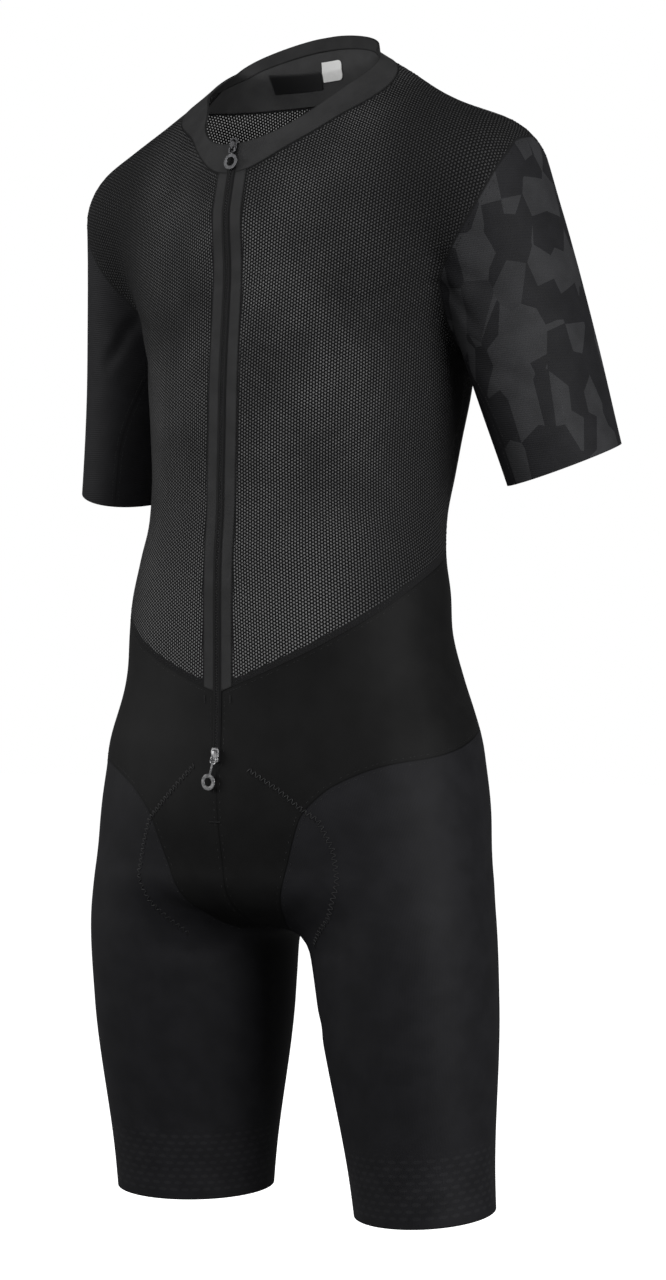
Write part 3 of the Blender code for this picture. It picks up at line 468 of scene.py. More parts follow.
def flat_pattern(points, faces):
    """The piece laid flat: a place in metres for each point, upright as worn."""
    mesh = mesh_of("pattern", points, faces)
    item = placed("pattern", mesh)
    bpy.context.view_layer.objects.active = item
    item.select_set(True)
    mesh.uv_layers.new(name="flat")
    bpy.ops.object.mode_set(mode="EDIT")
    bpy.ops.mesh.select_all(action="SELECT")
    bpy.ops.uv.unwrap(method="ANGLE_BASED", margin=0.0)
    bpy.ops.object.mode_set(mode="OBJECT")
    loops = np.array([loop.vertex_index for loop in mesh.loops])
    places = np.empty(len(loops) * 2)
    mesh.uv_layers["flat"].data.foreach_get("uv", places)
    flat = np.zeros((len(points), 2))
    flat[loops] = places.reshape(-1, 2)
    bpy.data.objects.remove(item)
    bpy.data.meshes.remove(mesh)
    level = np.column_stack([flat, np.zeros(len(flat))])
    scale = math.sqrt(area_of(points, faces) / area_of(level, faces))
    flat = (flat - flat.mean(axis=0)) * scale
    a, b, c = (flat[faces[:, k]] for k in range(3))
    turned = (b - a)[:, 0] * (c - a)[:, 1] - (b - a)[:, 1] * (c - a)[:, 0]
    if turned.sum() < 0:
        flat[:, 0] *= -1
    height = points[:, 2] - points[:, 2].mean()
    lean = flat.T @ height
    lean /= np.linalg.norm(lean)
    return flat @ np.array([[lean[1], lean[0]], [-lean[0], lean[1]]])


def round_leg(points):
    """Turn about the leg's axis from its outer side, distance down the leg, and its radius there."""
    side = np.where(points[:, 0] >= 0, 1.0, -1.0)
    down, out, back = limb_frame(LEG_TOP, LEG_END)
    offset = folded(points) - np.array(LEG_TOP)
    along = offset @ down
    turn = np.arctan2(offset @ back, offset @ out) * side
    half, depth, _ = smooth(LEG, np.clip(along, LEG[0][0], LEG[-1][0]))
    return turn, along, (half + depth) / 2


class Piece:
    """One sewn piece as fine cloth."""

    def __init__(self, name, points, faces):
        self.name = name
        self.points, self.faces = points, faces
        self.flat = None

    def refine(self):
        points, faces, sides = refined(self.points, self.faces)
        if self.flat is not None:
            self.flat = np.vstack([self.flat, self.flat[sides].mean(axis=1)])
        self.points, self.faces = points, faces

    def lay_flat(self):
        if not self.name.startswith("leg"):
            self.flat = flat_pattern(self.points, self.faces)

    def rim_points(self):
        return self.points[np.unique(rim_edges(self.faces))]

    def add_ring(self):
        """A narrow ring of faces all along the edge, so that seams can be pressed in sharply."""
        shape = bmesh.new()
        verts = [shape.verts.new(p) for p in self.points]
        for face in self.faces.tolist():
            shape.faces.new([verts[k] for k in face])
        layer = shape.loops.layers.uv.new("flat")
        if self.flat is not None:
            shape.verts.index_update()
            for face in shape.faces:
                for loop in face.loops:
                    loop[layer].uv = self.flat[loop.vert.index]
        bmesh.ops.inset_region(
            shape, faces=shape.faces[:], use_boundary=True, use_even_offset=True,
            use_interpolate=True, thickness=SEAM_RING, depth=0.0,
        )
        bmesh.ops.triangulate(shape, faces=[f for f in shape.faces if len(f.verts) > 3])
        shape.verts.index_update()
        self.points = onto_body(np.array([v.co[:] for v in shape.verts]), 3)
        self.faces = np.array([[v.index for v in f.verts] for f in shape.faces])
        if self.flat is not None:
            self.flat = np.zeros((len(self.points), 2))
            for face in shape.faces:
                for loop in face.loops:
                    self.flat[loop.vert.index] = loop[layer].uv
        shape.free()


def nearest_tree(points):
    tree = kdtree.KDTree(len(points))
    for k, place in enumerate(points):
        tree.insert(place, k)
    tree.balance()
    return tree


def distances(points, tree):
    return np.array([tree.find(p)[2] for p in points])


def dense_rim(piece, parts=3):
    """Points along the piece's edge, closer than its own."""
    rim = rim_edges(piece.faces)
    a, b = piece.points[rim[:, 0]], piece.points[rim[:, 1]]
    return np.vstack([a + (b - a) * k / parts for k in range(parts)])


def relief(piece, seam_gap, from_rim):
    """How far each point of a piece stands off its cloth's usual face."""
    height = fold_height(piece.points)
    height -= np.where((from_rim < ON_RIM) & (seam_gap < SEWN_GAP), SEAM_DIP, 0)
    if piece.name.startswith("zip"):
        across = np.abs(piece.points[:, 0])
        inner = np.clip((across - ZIP_SLIT) / ZIP_INNER_RISE, 0, 1)
        outer = np.clip((ZIP_HALF - across) / ZIP_OUTER_RISE, 0, 1)
        height += ZIP_CROWN * np.sqrt(inner * outer) - ZIP_DIP
    return height


def close_knit(piece, from_rim):
    """Distance from the mesh's close-knit edge: the rim, and a wider band along the waist seam."""
    rim = piece.rim_points()
    angle = np.degrees(np.arctan2(np.abs(rim[:, 0]), -rim[:, 1]))
    at_waist = np.abs(rim[:, 2] - smooth(WAIST_SEAM, angle)[0]) < WAIST_NEAR
    return np.minimum(from_rim, distances(piece.points, nearest_tree(rim[at_waist])) - WAIST_BAND)


def cloth_name(piece):
    return PIECES[piece.name][0]


def wall_mesh(name, outer, inner, faces):
    """A closed mesh of outer face, inner face and edge, and the point under each face corner."""
    count = len(outer)
    rim = rim_edges(faces)
    edge = np.column_stack([rim[:, 1], rim[:, 0], rim[:, 0] + count, rim[:, 1] + count])
    every = faces.tolist() + (faces[:, ::-1] + count).tolist() + edge.tolist()
    mesh = bpy.data.meshes.new(name)
    mesh.from_pydata(np.vstack([outer, inner]).tolist(), [], every)
    mesh.shade_smooth()
    mesh.set_sharp_from_angle(angle=SHARP_ANGLE)
    return mesh, np.array([loop.vertex_index for loop in mesh.loops]) % count


def keep_pattern(mesh, places):
    layer = mesh.uv_layers.new(name="flat")
    layer.data.foreach_set("uv", places.astype(np.float32).ravel())


def keep_distance(mesh, name, values):
    layer = mesh.attributes.new(name, "FLOAT", "POINT")
    layer.data.foreach_set("value", np.tile(values, 2).astype(np.float32))


def cloth_mesh(piece, seam_gap, from_rim):
    """The closed mesh of a piece, with its flat pattern and its distances from the edge."""
    outside, inside = CLOTH[cloth_name(piece)]
    lift = relief(piece, seam_gap, from_rim)
    normals = outward(piece.points)
    outer = piece.points + normals * (outside + lift)[:, None]
    inner = piece.points + normals * (np.minimum(lift, fold_height(piece.points)) - inside)[:, None]
    mesh, loops = wall_mesh(piece.name + "_cloth", outer, inner, piece.faces)
    if piece.flat is None:
        keep_pattern(mesh, leg_pattern(piece.points, loops, mesh))
    else:
        keep_pattern(mesh, piece.flat[loops])
    keep_distance(mesh, "edge", from_rim)
    if cloth_name(piece) == "mesh":
        keep_distance(mesh, "close", close_knit(piece, from_rim))
    return mesh


def leg_pattern(points, loops, mesh):
    """A leg opened along its inner side: distance round and distance up from the hem, at each face corner."""
    turn, along, radius = round_leg(points)
    face = np.repeat(np.arange(len(mesh.polygons)), [p.loop_total for p in mesh.polygons])
    start = np.array([p.loop_start for p in mesh.polygons])
    first = turn[loops[start]][face]
    angle = turn[loops]
    angle = angle + 2 * math.pi * np.round((first - angle) / (2 * math.pi))
    return np.column_stack([angle * radius[loops], LEG_LENGTH - along[loops]])


def add_piece(name, mesh, finish, body="suit"):
    item = placed(name, mesh)
    mesh.materials.append(finish)
    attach(item, body)
    return item


# ---- materials: tones are red, green and blue, and sizes are metres ----
TRIM = (0.0320, 0.0320, 0.0326)
YOKE_SHARE = 1.5  # the yoke's tone against the collar's
SLEEVE = (0.0138, 0.0138, 0.0153)
PRINT_PALE = (0.0310, 0.0312, 0.0332)
BRIEF = (0.0070, 0.0070, 0.0071)
LEG_TONE = (0.0122, 0.0122, 0.0138)
GRIP_TONE = (0.0165, 0.0165, 0.0182)
ZIP_TONE = (0.0085, 0.0085, 0.0089)
TWILL_GROOVE_SHADE = 0.8  # painted shade: the tone in the twill's grooves against the tone on its ridges
THREAD_TONES = ((0.006, 0.006, 0.0065), (0.014, 0.014, 0.015))
TOOTH_TONES = ((0.010, 0.010, 0.011), (0.018, 0.018, 0.019))
MESH_YARN = (0.0050, 0.0050, 0.0053)
MESH_BAND = (0.0110, 0.0110, 0.0114)
# painted light seen through the holes, which are also partly see-through: duller and brighter at random,
# brighter low on the belly, and painted shade at the sides
HOLE_LIGHT_DULL = (0.090, 0.090, 0.091)
HOLE_LIGHT_BRIGHT = (0.200, 0.200, 0.201)
BELLY_LIGHT = (0.260, 0.260, 0.261)
SIDE_SHADE = (0.058, 0.058, 0.059)

# smooth steps: from low, from high, and what these become where it isn't 0 and 1
KNIT_UNEVEN = (0.3, 0.7, 0.88, 1.12)
# the knit's loops: painted shade in their gaps and painted highlight on their tops
KNIT_LOOP_SHADE = (0.0, 1.0, 0.85, 1.12)
SEAM_SHADOW = (0.0002, 0.0011)
HOLE_RIM = (0.34, 0.54, 1.0, 0.0)
HOLE_FORM = (0.45, 0.95)
FIRST_HOLES = (0.0010, 0.0022)
BAND_FADE = (0.0004, 0.0030)
HOLE_LIGHT_UNEVEN = (0.30, 0.70)
BELLY_HEIGHT = (-0.46, -0.28)
SIDE_REACH = (0.075, 0.145)
PRINT_CUT = (0.52, 0.53)
GRIP_RIM = (0.35, 0.5, 1.0, 0.0)
GRIP_TOP = (0.058, 0.062, 1.0, 0.0)
GRIP_BOTTOM = (0.004, 0.006)
PLATING_WEAR = (0.35, 0.7)

KNIT_DEPTH = 0.00006
KNIT_NOISE = 45.0
WALE = 0.0012
COURSE = 0.0010
RIBS = 0.0017
RIB_HEIGHT = 2.0  # against the height of a loop
PLAIN_SEAM_SHADE = 0.62  # share of the tone left under the painted shade at a seam or hem
# the deeper painted shade at the brief's and legs' seams and hems
DEEP_SEAM_SHADE = 0.3
HOLE_COLUMN = 0.00238
HOLE_PITCH = 0.00275
HOLE_WIDTH = 0.0016
HOLE_HEIGHT = 0.0018
HOLE_DEPTH = 0.00025
HOLE_OPEN = 0.42
HOLE_LIGHT_NOISE = 10.0
SHARD = 0.019  # usual width of a printed shape on the sleeve
SHARD_TURN = 0.6
SHARD_STRETCH = 0.60
SHARD_RANDOM = 0.9
GRIP_ROW = 0.0058
GRIP_PITCH = 0.0100
GRIP_TALL = 1.7  # a dot's pitch against its size, up and across
GRIP_WIDE = 1.25
TWILL_PITCH = 0.0008
TWILL_DEPTH = 0.00008
FILM_DEPTH = 0.00003
FILM_SHARE = 0.93
FILM_NOISE = 300.0
PLATING_NOISE = 300.0
POLISH_NOISE = 1500.0
POLISH_DEPTH = 0.000004


class Graph:
    """A material's nodes, put together by calls."""

    def __init__(self, name, roughness, specular, metallic=0.0):
        self.material = bpy.data.materials.new(name)
        self.material.use_nodes = True
        self.tree = self.material.node_tree
        self.shader = self.tree.nodes["Principled BSDF"]
        self.set("Roughness", roughness)
        self.set("Metallic", metallic)
        self.set("Specular IOR Level", specular)

    def fill(self, socket, value):
        """A link, a tone or a number put into a socket."""
        if hasattr(value, "is_output"):
            self.tree.links.new(value, socket)
        elif socket.type == "RGBA":
            socket.default_value = (*value, 1.0)
        else:
            socket.default_value = value

    def set(self, socket, value):
        self.fill(self.shader.inputs[socket], value)

    def node(self, kind, inputs=(), **settings):
        node = self.tree.nodes.new(kind)
        for key, value in settings.items():
            setattr(node, key, value)
        for socket, value in dict(inputs).items():
            self.fill(node.inputs[socket], value)
        return node

    def math(self, operation, a, b=0.0, c=0.0):
        return self.node("ShaderNodeMath", {0: a, 1: b, 2: c}, operation=operation).outputs[0]

    def flat(self):
        """The flat pattern's place in metres, and its two parts: across and up."""
        uv = self.node("ShaderNodeUVMap", uv_map="flat")
        parts = self.node("ShaderNodeSeparateXYZ", {0: uv.outputs[0]})
        return uv.outputs[0], parts.outputs[0], parts.outputs[1]

    def position(self):
        return self.node("ShaderNodeTexCoord").outputs["Object"]

    def measured(self, name):
        """A distance kept with the cloth's points."""
        return self.node("ShaderNodeAttribute", attribute_name=name).outputs["Fac"]

    def steps(self, value, low, high, to_low=0.0, to_high=1.0):
        """A value carried smoothly from one range to another."""
        inputs = {"Value": value, "From Min": low, "From Max": high, "To Min": to_low, "To Max": to_high}
        return self.node("ShaderNodeMapRange", inputs, interpolation_type="SMOOTHSTEP").outputs[0]

    def noise(self, vector, scale):
        return self.node("ShaderNodeTexNoise", {"Vector": vector, "Scale": scale}).outputs["Fac"]

    def wave(self, place, pitch):
        """A smooth ripple between 0 and 1 with the given pitch."""
        ripple = self.math("SINE", self.math("MULTIPLY", place, 2 * math.pi / pitch))
        return self.math("MULTIPLY_ADD", ripple, 0.5, 0.5)

    def loops(self, across, up, wale, course):
        """A knit's loops, from 0 in the gaps to 1 on top."""
        return self.math("MULTIPLY", self.wave(across, wale), self.wave(up, course))

    def dots(self, line, place):
        """Distance from the nearest of many dots. Each line of them starts half a pitch on.

        line and place: where, pitch, and the distance's stretch that way.
        """
        line_at = self.math("DIVIDE", line[0], line[1])
        odd = self.math("MODULO", self.math("ABSOLUTE", self.math("FLOOR", line_at)), 2.0)
        place_at = self.math("MULTIPLY_ADD", odd, 0.5, self.math("DIVIDE", place[0], place[1]))
        squares = []
        for at, stretch in ((line_at, line[2]), (place_at, place[2])):
            off = self.math("MULTIPLY", self.math("SUBTRACT", self.math("FRACT", at), 0.5), stretch)
            squares.append(self.math("MULTIPLY", off, off))
        return self.math("SQRT", self.math("ADD", *squares))

    def mixed(self, share, a, b):
        return self.node("ShaderNodeMix", {0: share, 6: a, 7: b}, data_type="RGBA").outputs[2]

    def tint(self, tone, share):
        """The base colour: a tone made lighter or darker by a share."""
        product = self.node("ShaderNodeVectorMath", {0: tone, 1: share}, operation="MULTIPLY")
        self.set("Base Color", product.outputs[0])

    def bump(self, height, distance):
        inputs = {"Height": height, "Distance": distance}
        self.set("Normal", self.node("ShaderNodeBump", inputs).outputs[0])


def scaled(tone, share):
    return tuple(share * c for c in tone)


def knit(name, roughness, specular, wale=WALE, course=COURSE, ribs=0.0, seam=PLAIN_SEAM_SHADE):
    """A close knit before its tone: upright wales crossed by courses, uneven, with painted shade in the
    loops' gaps and at its seams and hems, and painted highlight on the loops' tops.
    """
    graph = Graph(name, roughness, specular)
    graph.place, graph.across, graph.up = graph.flat()
    loops = graph.loops(graph.across, graph.up, wale, course)
    height = loops
    if ribs:
        height = graph.math("MULTIPLY_ADD", graph.wave(graph.up, ribs), RIB_HEIGHT, loops)
    graph.bump(height, KNIT_DEPTH)
    shade = graph.steps(graph.noise(graph.place, KNIT_NOISE), *KNIT_UNEVEN)
    # painted shade in the gaps between the loops, painted highlight on their tops
    shade = graph.math("MULTIPLY", shade, graph.steps(loops, *KNIT_LOOP_SHADE))
    # painted shade along every seam and raw hem, darkest right at the edge
    shadow = graph.steps(graph.measured("edge"), *SEAM_SHADOW, seam, 1.0)
    graph.lit = graph.math("MULTIPLY", shade, shadow)
    return graph


def plain_cloth(name, tone, roughness, specular, **sizes):
    """A close knit of one tone."""
    graph = knit(name, roughness, specular, **sizes)
    graph.tint(tone, graph.lit)
    return graph.material


def mesh_cloth():
    """An open mesh: columns of round holes, each column half a pitch up from the last. The holes are partly
    see-through, and their pale tone is painted light.
    """
    graph = Graph("mesh_knit_cloth", 0.8, 0.08)
    place, across, up = graph.flat()
    far = graph.dots(
        (across, HOLE_COLUMN, HOLE_COLUMN / HOLE_WIDTH),
        (up, HOLE_PITCH, HOLE_PITCH / HOLE_HEIGHT),
    )
    close = graph.measured("close")
    hole = graph.math("MULTIPLY", graph.steps(far, *HOLE_RIM), graph.steps(close, *FIRST_HOLES))
    graph.set("Alpha", graph.math("SUBTRACT", 1.0, graph.math("MULTIPLY", hole, HOLE_OPEN)))
    uneven = graph.steps(graph.noise(place, HOLE_LIGHT_NOISE), *HOLE_LIGHT_UNEVEN)
    # painted light in the holes, brighter and duller at random
    hole_light = graph.mixed(uneven, HOLE_LIGHT_DULL, HOLE_LIGHT_BRIGHT)
    side, _, height = graph.node("ShaderNodeSeparateXYZ", {0: graph.position()}).outputs
    # painted light: the holes brighter low on the belly
    hole_light = graph.mixed(graph.steps(height, *BELLY_HEIGHT), BELLY_LIGHT, hole_light)
    # painted shade: the holes darker towards the sides
    side_shade_mask = graph.steps(graph.math("ABSOLUTE", side), *SIDE_REACH)
    hole_light = graph.mixed(side_shade_mask, hole_light, SIDE_SHADE)
    yarn = graph.mixed(graph.steps(close, *BAND_FADE), MESH_BAND, MESH_YARN)
    graph.set("Base Color", graph.mixed(hole, yarn, hole_light))
    graph.bump(graph.steps(far, *HOLE_FORM), HOLE_DEPTH)
    return graph.material


def print_cloth():
    """The left sleeve: ribs, under a faint print of angular shapes of several sizes."""
    graph = knit("print_knit_cloth", 0.65, 0.10, ribs=RIBS)
    turn = {"Vector": graph.place, "Rotation": (0, 0, SHARD_TURN), "Scale": (1.0, SHARD_STRETCH, 1.0)}
    skew = graph.node("ShaderNodeMapping", turn).outputs[0]
    cells = graph.node(
        "ShaderNodeTexVoronoi", {"Vector": skew, "Scale": 1 / SHARD, "Randomness": SHARD_RANDOM},
        feature="F1",
    )
    cell_tone = graph.node("ShaderNodeSeparateColor", {0: cells.outputs["Color"]}).outputs[0]
    graph.tint(graph.mixed(graph.steps(cell_tone, *PRINT_CUT), SLEEVE, PRINT_PALE), graph.lit)
    return graph.material


def leg_cloth():
    """The legs: a satin knit, with grip dots in a faint tone, in staggered rows above the hem."""
    graph = knit("leg_knit_cloth", 0.58, 0.09, wale=0.0011, course=0.0009, seam=DEEP_SEAM_SHADE)
    far = graph.dots((graph.up, GRIP_ROW, GRIP_TALL), (graph.across, GRIP_PITCH, GRIP_WIDE))
    dot = graph.math("MULTIPLY", graph.steps(far, *GRIP_RIM), graph.steps(graph.up, *GRIP_TOP))
    dot = graph.math("MULTIPLY", dot, graph.steps(graph.up, *GRIP_BOTTOM))
    graph.tint(graph.mixed(dot, LEG_TONE, GRIP_TONE), graph.lit)
    return graph.material


def zip_cloth():
    """Zip tape: a fine twill of slanting lines, with painted shade in its grooves."""
    graph = Graph("zip_tape_cloth", 0.55, 0.08)
    _, across, up = graph.flat()
    twill = graph.wave(graph.math("ADD", across, up), TWILL_PITCH)
    graph.bump(twill, TWILL_DEPTH)
    # painted shade in the twill's grooves, from the same wave as the bump
    graph.set("Base Color", graph.mixed(twill, scaled(ZIP_TONE, TWILL_GROOVE_SHADE), ZIP_TONE))
    return graph.material


def mottled(name, roughness, specular, tones, grain):
    """A smooth surface in two near tones: thread, or the zip's coil."""
    graph = Graph(name, roughness, specular)
    graph.set("Base Color", graph.mixed(graph.noise(graph.position(), grain), *tones))
    return graph.material


def metal(name, dark, light, roughness):
    """Plated metal: slightly uneven, worn paler where it rubs."""
    graph = Graph(name, roughness, 0.5, metallic=1.0)
    position = graph.position()
    wear = graph.noise(position, PLATING_NOISE)
    graph.set("Base Color", graph.mixed(graph.steps(wear, *PLATING_WEAR), dark, light))
    graph.set("Roughness", graph.steps(wear, 0.3, 0.7, roughness - 0.04, roughness + 0.06))
    graph.bump(graph.noise(position, POLISH_NOISE), POLISH_DEPTH)
    return graph.material


def film(name, colour):
    """A thin printed patch: nearly smooth, with the knit just showing through."""
    graph = Graph(name, 0.45, 0.3)
    place, across, up = graph.flat()
    graph.bump(graph.loops(across, up, WALE, COURSE), FILM_DEPTH)
    graph.set("Base Color", graph.mixed(graph.noise(place, FILM_NOISE), scaled(colour, FILM_SHARE), colour))
    return graph.material


FINISHES = {
    "trim": plain_cloth("trim_knit_cloth", TRIM, 0.75, 0.08, wale=0.0010, course=0.0008),
    "yoke": plain_cloth("yoke_knit_cloth", scaled(TRIM, YOKE_SHARE), 0.75, 0.08),
    "mesh": mesh_cloth(),
    "print": print_cloth(),
    "sleeve": plain_cloth("sleeve_knit_cloth", SLEEVE, 0.65, 0.10, ribs=RIBS),
    "zip": zip_cloth(),
    "brief": plain_cloth(
        "brief_knit_cloth", BRIEF, 0.56, 0.08, wale=0.0010, course=0.0008, seam=DEEP_SEAM_SHADE
    ),
    "leg": leg_cloth(),
}


# ---- stitches: each a small spindle of thread ----
SPINDLE_RINGS = (-0.55, 0.55)  # places along a spindle, whose tips are at -1 and 1
SPINDLE_SIDES = 5


def spindles(centres, along, normals, half, radius, flatness=0.8):
    """One mesh of many small spindles."""
    side = units(np.cross(along, normals))
    up = np.cross(side, along)
    turns = np.arange(SPINDLE_SIDES) * 2 * math.pi / SPINDLE_SIDES
    points, faces = [], []
    rows = len(SPINDLE_RINGS)
    each = rows * SPINDLE_SIDES + 2
    for place in SPINDLE_RINGS:
        for t in turns:
            shift = side * math.cos(t) + up * math.sin(t) * flatness
            points.append(centres + along * half * place + shift * radius)
    points.append(centres - along * half)
    points.append(centres + along * half)
    points = np.stack(points, axis=1).reshape(-1, 3)
    low, high = each - 2, each - 1
    for k in range(SPINDLE_SIDES):
        nxt = (k + 1) % SPINDLE_SIDES
        faces.append((low, nxt, k))
        for row in range(rows - 1):
            a, b = row * SPINDLE_SIDES, (row + 1) * SPINDLE_SIDES
            faces += [(a + k, a + nxt, b + nxt), (a + k, b + nxt, b + k)]
        last = (rows - 1) * SPINDLE_SIDES
        faces.append((high, last + k, last + nxt))
    faces = np.array(faces)[None] + np.arange(len(centres))[:, None, None] * each
    return points, faces.reshape(-1, 3)


def rim_loops(piece):
    following = dict(rim_edges(piece.faces).tolist())
    loops = []
    while following:
        start = next(iter(following))
        loop = [start]
        at = following.pop(start)
        while at != start:
            loop.append(at)
            at = following.pop(at)
        loops.append(piece.points[loop])
    return loops


def evenly(line, pitch):
    """Places at an even pitch along a line of points."""
    length = np.concatenate([[0], np.cumsum(np.linalg.norm(np.diff(line, axis=0), axis=1))])
    at = np.arange(0, length[-1], pitch)
    return np.column_stack([np.interp(at, length, line[:, k]) for k in range(3)])


def along_rims(piece, sewn):
    """Places at an even pitch along a piece's sewn edges, moved in from the edge, with their directions."""
    centres, directions = [], []
    for loop in rim_loops(piece):
        places = evenly(np.vstack([loop, loop[:1]]), STITCH_PITCH)
        run = units(np.roll(places, -1, axis=0) - np.roll(places, 1, axis=0))
        straight = (np.roll(run, 2, axis=0) * np.roll(run, -2, axis=0)).sum(axis=1) > STRAIGHT_EDGE
        keep = straight & (distances(places, sewn) < CLOSE_STITCH)
        centres.append(places[keep])
        directions.append(run[keep])
    centres, directions = np.vstack(centres), np.vstack(directions)
    inward = np.cross(outward(centres), directions)
    return onto_body(centres + inward * STITCH_INSET, 3), directions


def stitch_rows(piece, sewn):
    centres, directions = along_rims(piece, sewn)
    normals = outward(centres)
    lift = fold_height(centres) + CLOTH[cloth_name(piece)][0] + STITCH_LIFT
    centres = centres + normals * lift[:, None]
    return spindles(centres, directions, normals, STITCH_LENGTH / 2, STITCH_RADIUS)


# the zigzag rows that hold the seat pad on the inside: points on the suit's front, each side
PAD_LEFT = (
    (0.030, -0.099, -0.562), (0.057, -0.096, -0.578), (0.076, -0.092, -0.593), (0.090, -0.088, -0.602),
    (0.100, -0.082, -0.625), (0.101, -0.073, -0.651), (0.089, -0.066, -0.678), (0.060, -0.046, -0.705),
)
PAD_RIGHT = (
    (-0.023, -0.100, -0.559), (-0.067, -0.095, -0.596), (-0.077, -0.092, -0.605), (-0.087, -0.086, -0.626),
    (-0.095, -0.075, -0.650), (-0.088, -0.067, -0.671), (-0.076, -0.059, -0.687), (-0.064, -0.050, -0.701),
)
ZIGZAG_PITCH = 0.0024
ZIGZAG_HALF = 0.0026
ZIGZAG_RADIUS = 0.00042
ZIGZAG_LIFT = 0.5 * ZIGZAG_RADIUS

# short dense rows of stitches: middle, direction, length
BARTACKS = (
    ((0.0128, -0.100, -0.5060), (0.0, 0.0, 1.0), 0.0060),
    ((-0.0128, -0.100, -0.5060), (0.0, 0.0, 1.0), 0.0060),
    ((-0.0030, -0.100, -0.6050), (1.0, 0.0, 0.0), 0.0110),
)
BARTACK_PITCH = 0.0006
BARTACK_WIDTH = 0.0016
BARTACK_LIFT = 0.0005


def zigzag(route):
    """A zigzag row of stitches along a route on the suit."""
    middle = onto_body(evenly(np.array(route), ZIGZAG_PITCH))
    normals = outward(middle)
    side = np.cross(normals, units(np.gradient(middle, axis=0)))
    swing = np.where(np.arange(len(middle)) % 2, 1.0, -1.0)[:, None]
    lift = fold_height(middle)[:, None] + ZIGZAG_LIFT
    ends = middle + side * swing * ZIGZAG_HALF + normals * lift
    centres = (ends[1:] + ends[:-1]) / 2
    run = ends[1:] - ends[:-1]
    half = np.linalg.norm(run, axis=1).mean() / 2
    return spindles(centres, units(run), normals[1:], half, ZIGZAG_RADIUS)


def bartack(middle, direction, length):
    places = np.arange(-length / 2, length / 2, BARTACK_PITCH)
    centres = onto_body(np.array(middle) + np.outer(places, direction))
    normals = outward(centres)
    along = units(np.cross(normals, direction))
    raised = centres + normals * BARTACK_LIFT
    return spindles(raised, along, normals, BARTACK_WIDTH / 2, STITCH_RADIUS)


# ---- the cloth ----
def dress():
    skins = close_seams({name: outer_skin(name) for name in PIECES})
    pieces = [Piece(name, *skin) for name, skin in skins.items()]
    for piece in pieces:
        piece.refine()
        piece.lay_flat()
        piece.refine()
    rims = {piece.name: piece.rim_points() for piece in pieces}
    stitches = mottled("thread", 0.45, 0.35, THREAD_TONES, grain=900.0)
    for piece in pieces:
        others = nearest_tree(np.vstack([rim for name, rim in rims.items() if name != piece.name]))
        own = nearest_tree(dense_rim(piece))
        rows = stitch_rows(piece, others) if piece.name in STITCHED else None
        piece.add_ring()
        rim = np.unique(rim_edges(piece.faces))
        from_rim = distances(piece.points, own)
        from_rim[rim] = 0.0
        seam_gap = np.full(len(piece.points), 1.0)
        seam_gap[rim] = distances(piece.points[rim], others)
        _, slot_name, finish = PIECES[piece.name]
        mesh = cloth_mesh(piece, seam_gap, from_rim)
        item = add_piece(piece.name + "_cloth", mesh, FINISHES[finish])
        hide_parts(piece.name)
        sewing = []
        if rows:
            sewing = [add_piece(piece.name + "_stitches", mesh_of("stitches", *rows), stitches)]
        if piece.name.startswith("placket"):
            sewing = [bpy.data.objects["zip" + piece.name.removeprefix("placket") + "_cloth"]]
        if not piece.name.startswith("zip"):
            declare_sheet(piece, mesh)
    for side, route in (("left", PAD_LEFT), ("right", PAD_RIGHT)):
        add_piece("pad_stitches_" + side, mesh_of("pad_stitches", *zigzag(route)), stitches)
    for k, row in enumerate(BARTACKS):
        add_piece(f"bartack_{k}", mesh_of("bartack", *bartack(*row)), stitches)


STRIP_SHARE = 0.4  # a long curved strip fills less than this of its pattern's box
STRIP_SPARE = 1.02
AREA_LIMIT = 0.999  # an area stays this far inside its width times its length


def cut_size(piece, mesh):
    """Width, length and area of a piece's cut. A long curved strip is measured along itself."""
    places = np.empty(len(mesh.loops) * 2, np.float32)
    mesh.uv_layers["flat"].data.foreach_get("uv", places)
    width, length = np.ptp(places.reshape(-1, 2), axis=0)
    area = area_of(piece.points, piece.faces)
    if area < STRIP_SHARE * width * length:
        loop = rim_loops(piece)[0]
        length = np.linalg.norm(loop - np.roll(loop, 1, axis=0), axis=1).sum() / 2
        length -= area / length
        width = area / length * STRIP_SPARE
    return float(width), float(length), min(area, AREA_LIMIT * width * length)


def declare_sheet(piece, mesh):
    width, length, area = cut_size(piece, mesh)
    print(f"{piece.name}: {width:.4f} x {length:.4f} m, {area:.5f} m2, {len(mesh.polygons)} faces")


dress()


# ---- zip teeth ----
TOOTH_PITCH = 0.0013
TOOTH_HALF = 0.0008
TOOTH_RADIUS = 0.00030
TOOTH_SHIFT = 0.00035
TOOTH_LIFT = 0.00085
ZIP_TOP = -0.0590
ZIP_BOTTOM = -0.5500
FRONT_START = -0.09  # a depth between the back and the front surface all the way down
FRONT_STEP = 0.01
FRONT_ROUNDS = 12


def front_line(heights):
    """Points down the middle of the front, on the figure."""
    points = np.column_stack([np.zeros(len(heights)), np.full(len(heights), FRONT_START), heights])
    for _ in range(FRONT_ROUNDS):
        step = body_field(points) / field_slope(points)[:, 1]
        points[:, 1] -= np.clip(step, -FRONT_STEP, FRONT_STEP)
    return points


def zip_teeth():
    heights = np.arange(ZIP_BOTTOM, ZIP_TOP, TOOTH_PITCH)
    middle = front_line(heights)
    normals = outward(middle)
    across = np.zeros_like(middle)
    across[:, 0] = 1.0
    shift = np.where(np.arange(len(heights)) % 2, TOOTH_SHIFT, -TOOTH_SHIFT)
    centres = middle + across * shift[:, None] + normals * TOOTH_LIFT
    return spindles(centres, across, normals, TOOTH_HALF, TOOTH_RADIUS, 1.0)


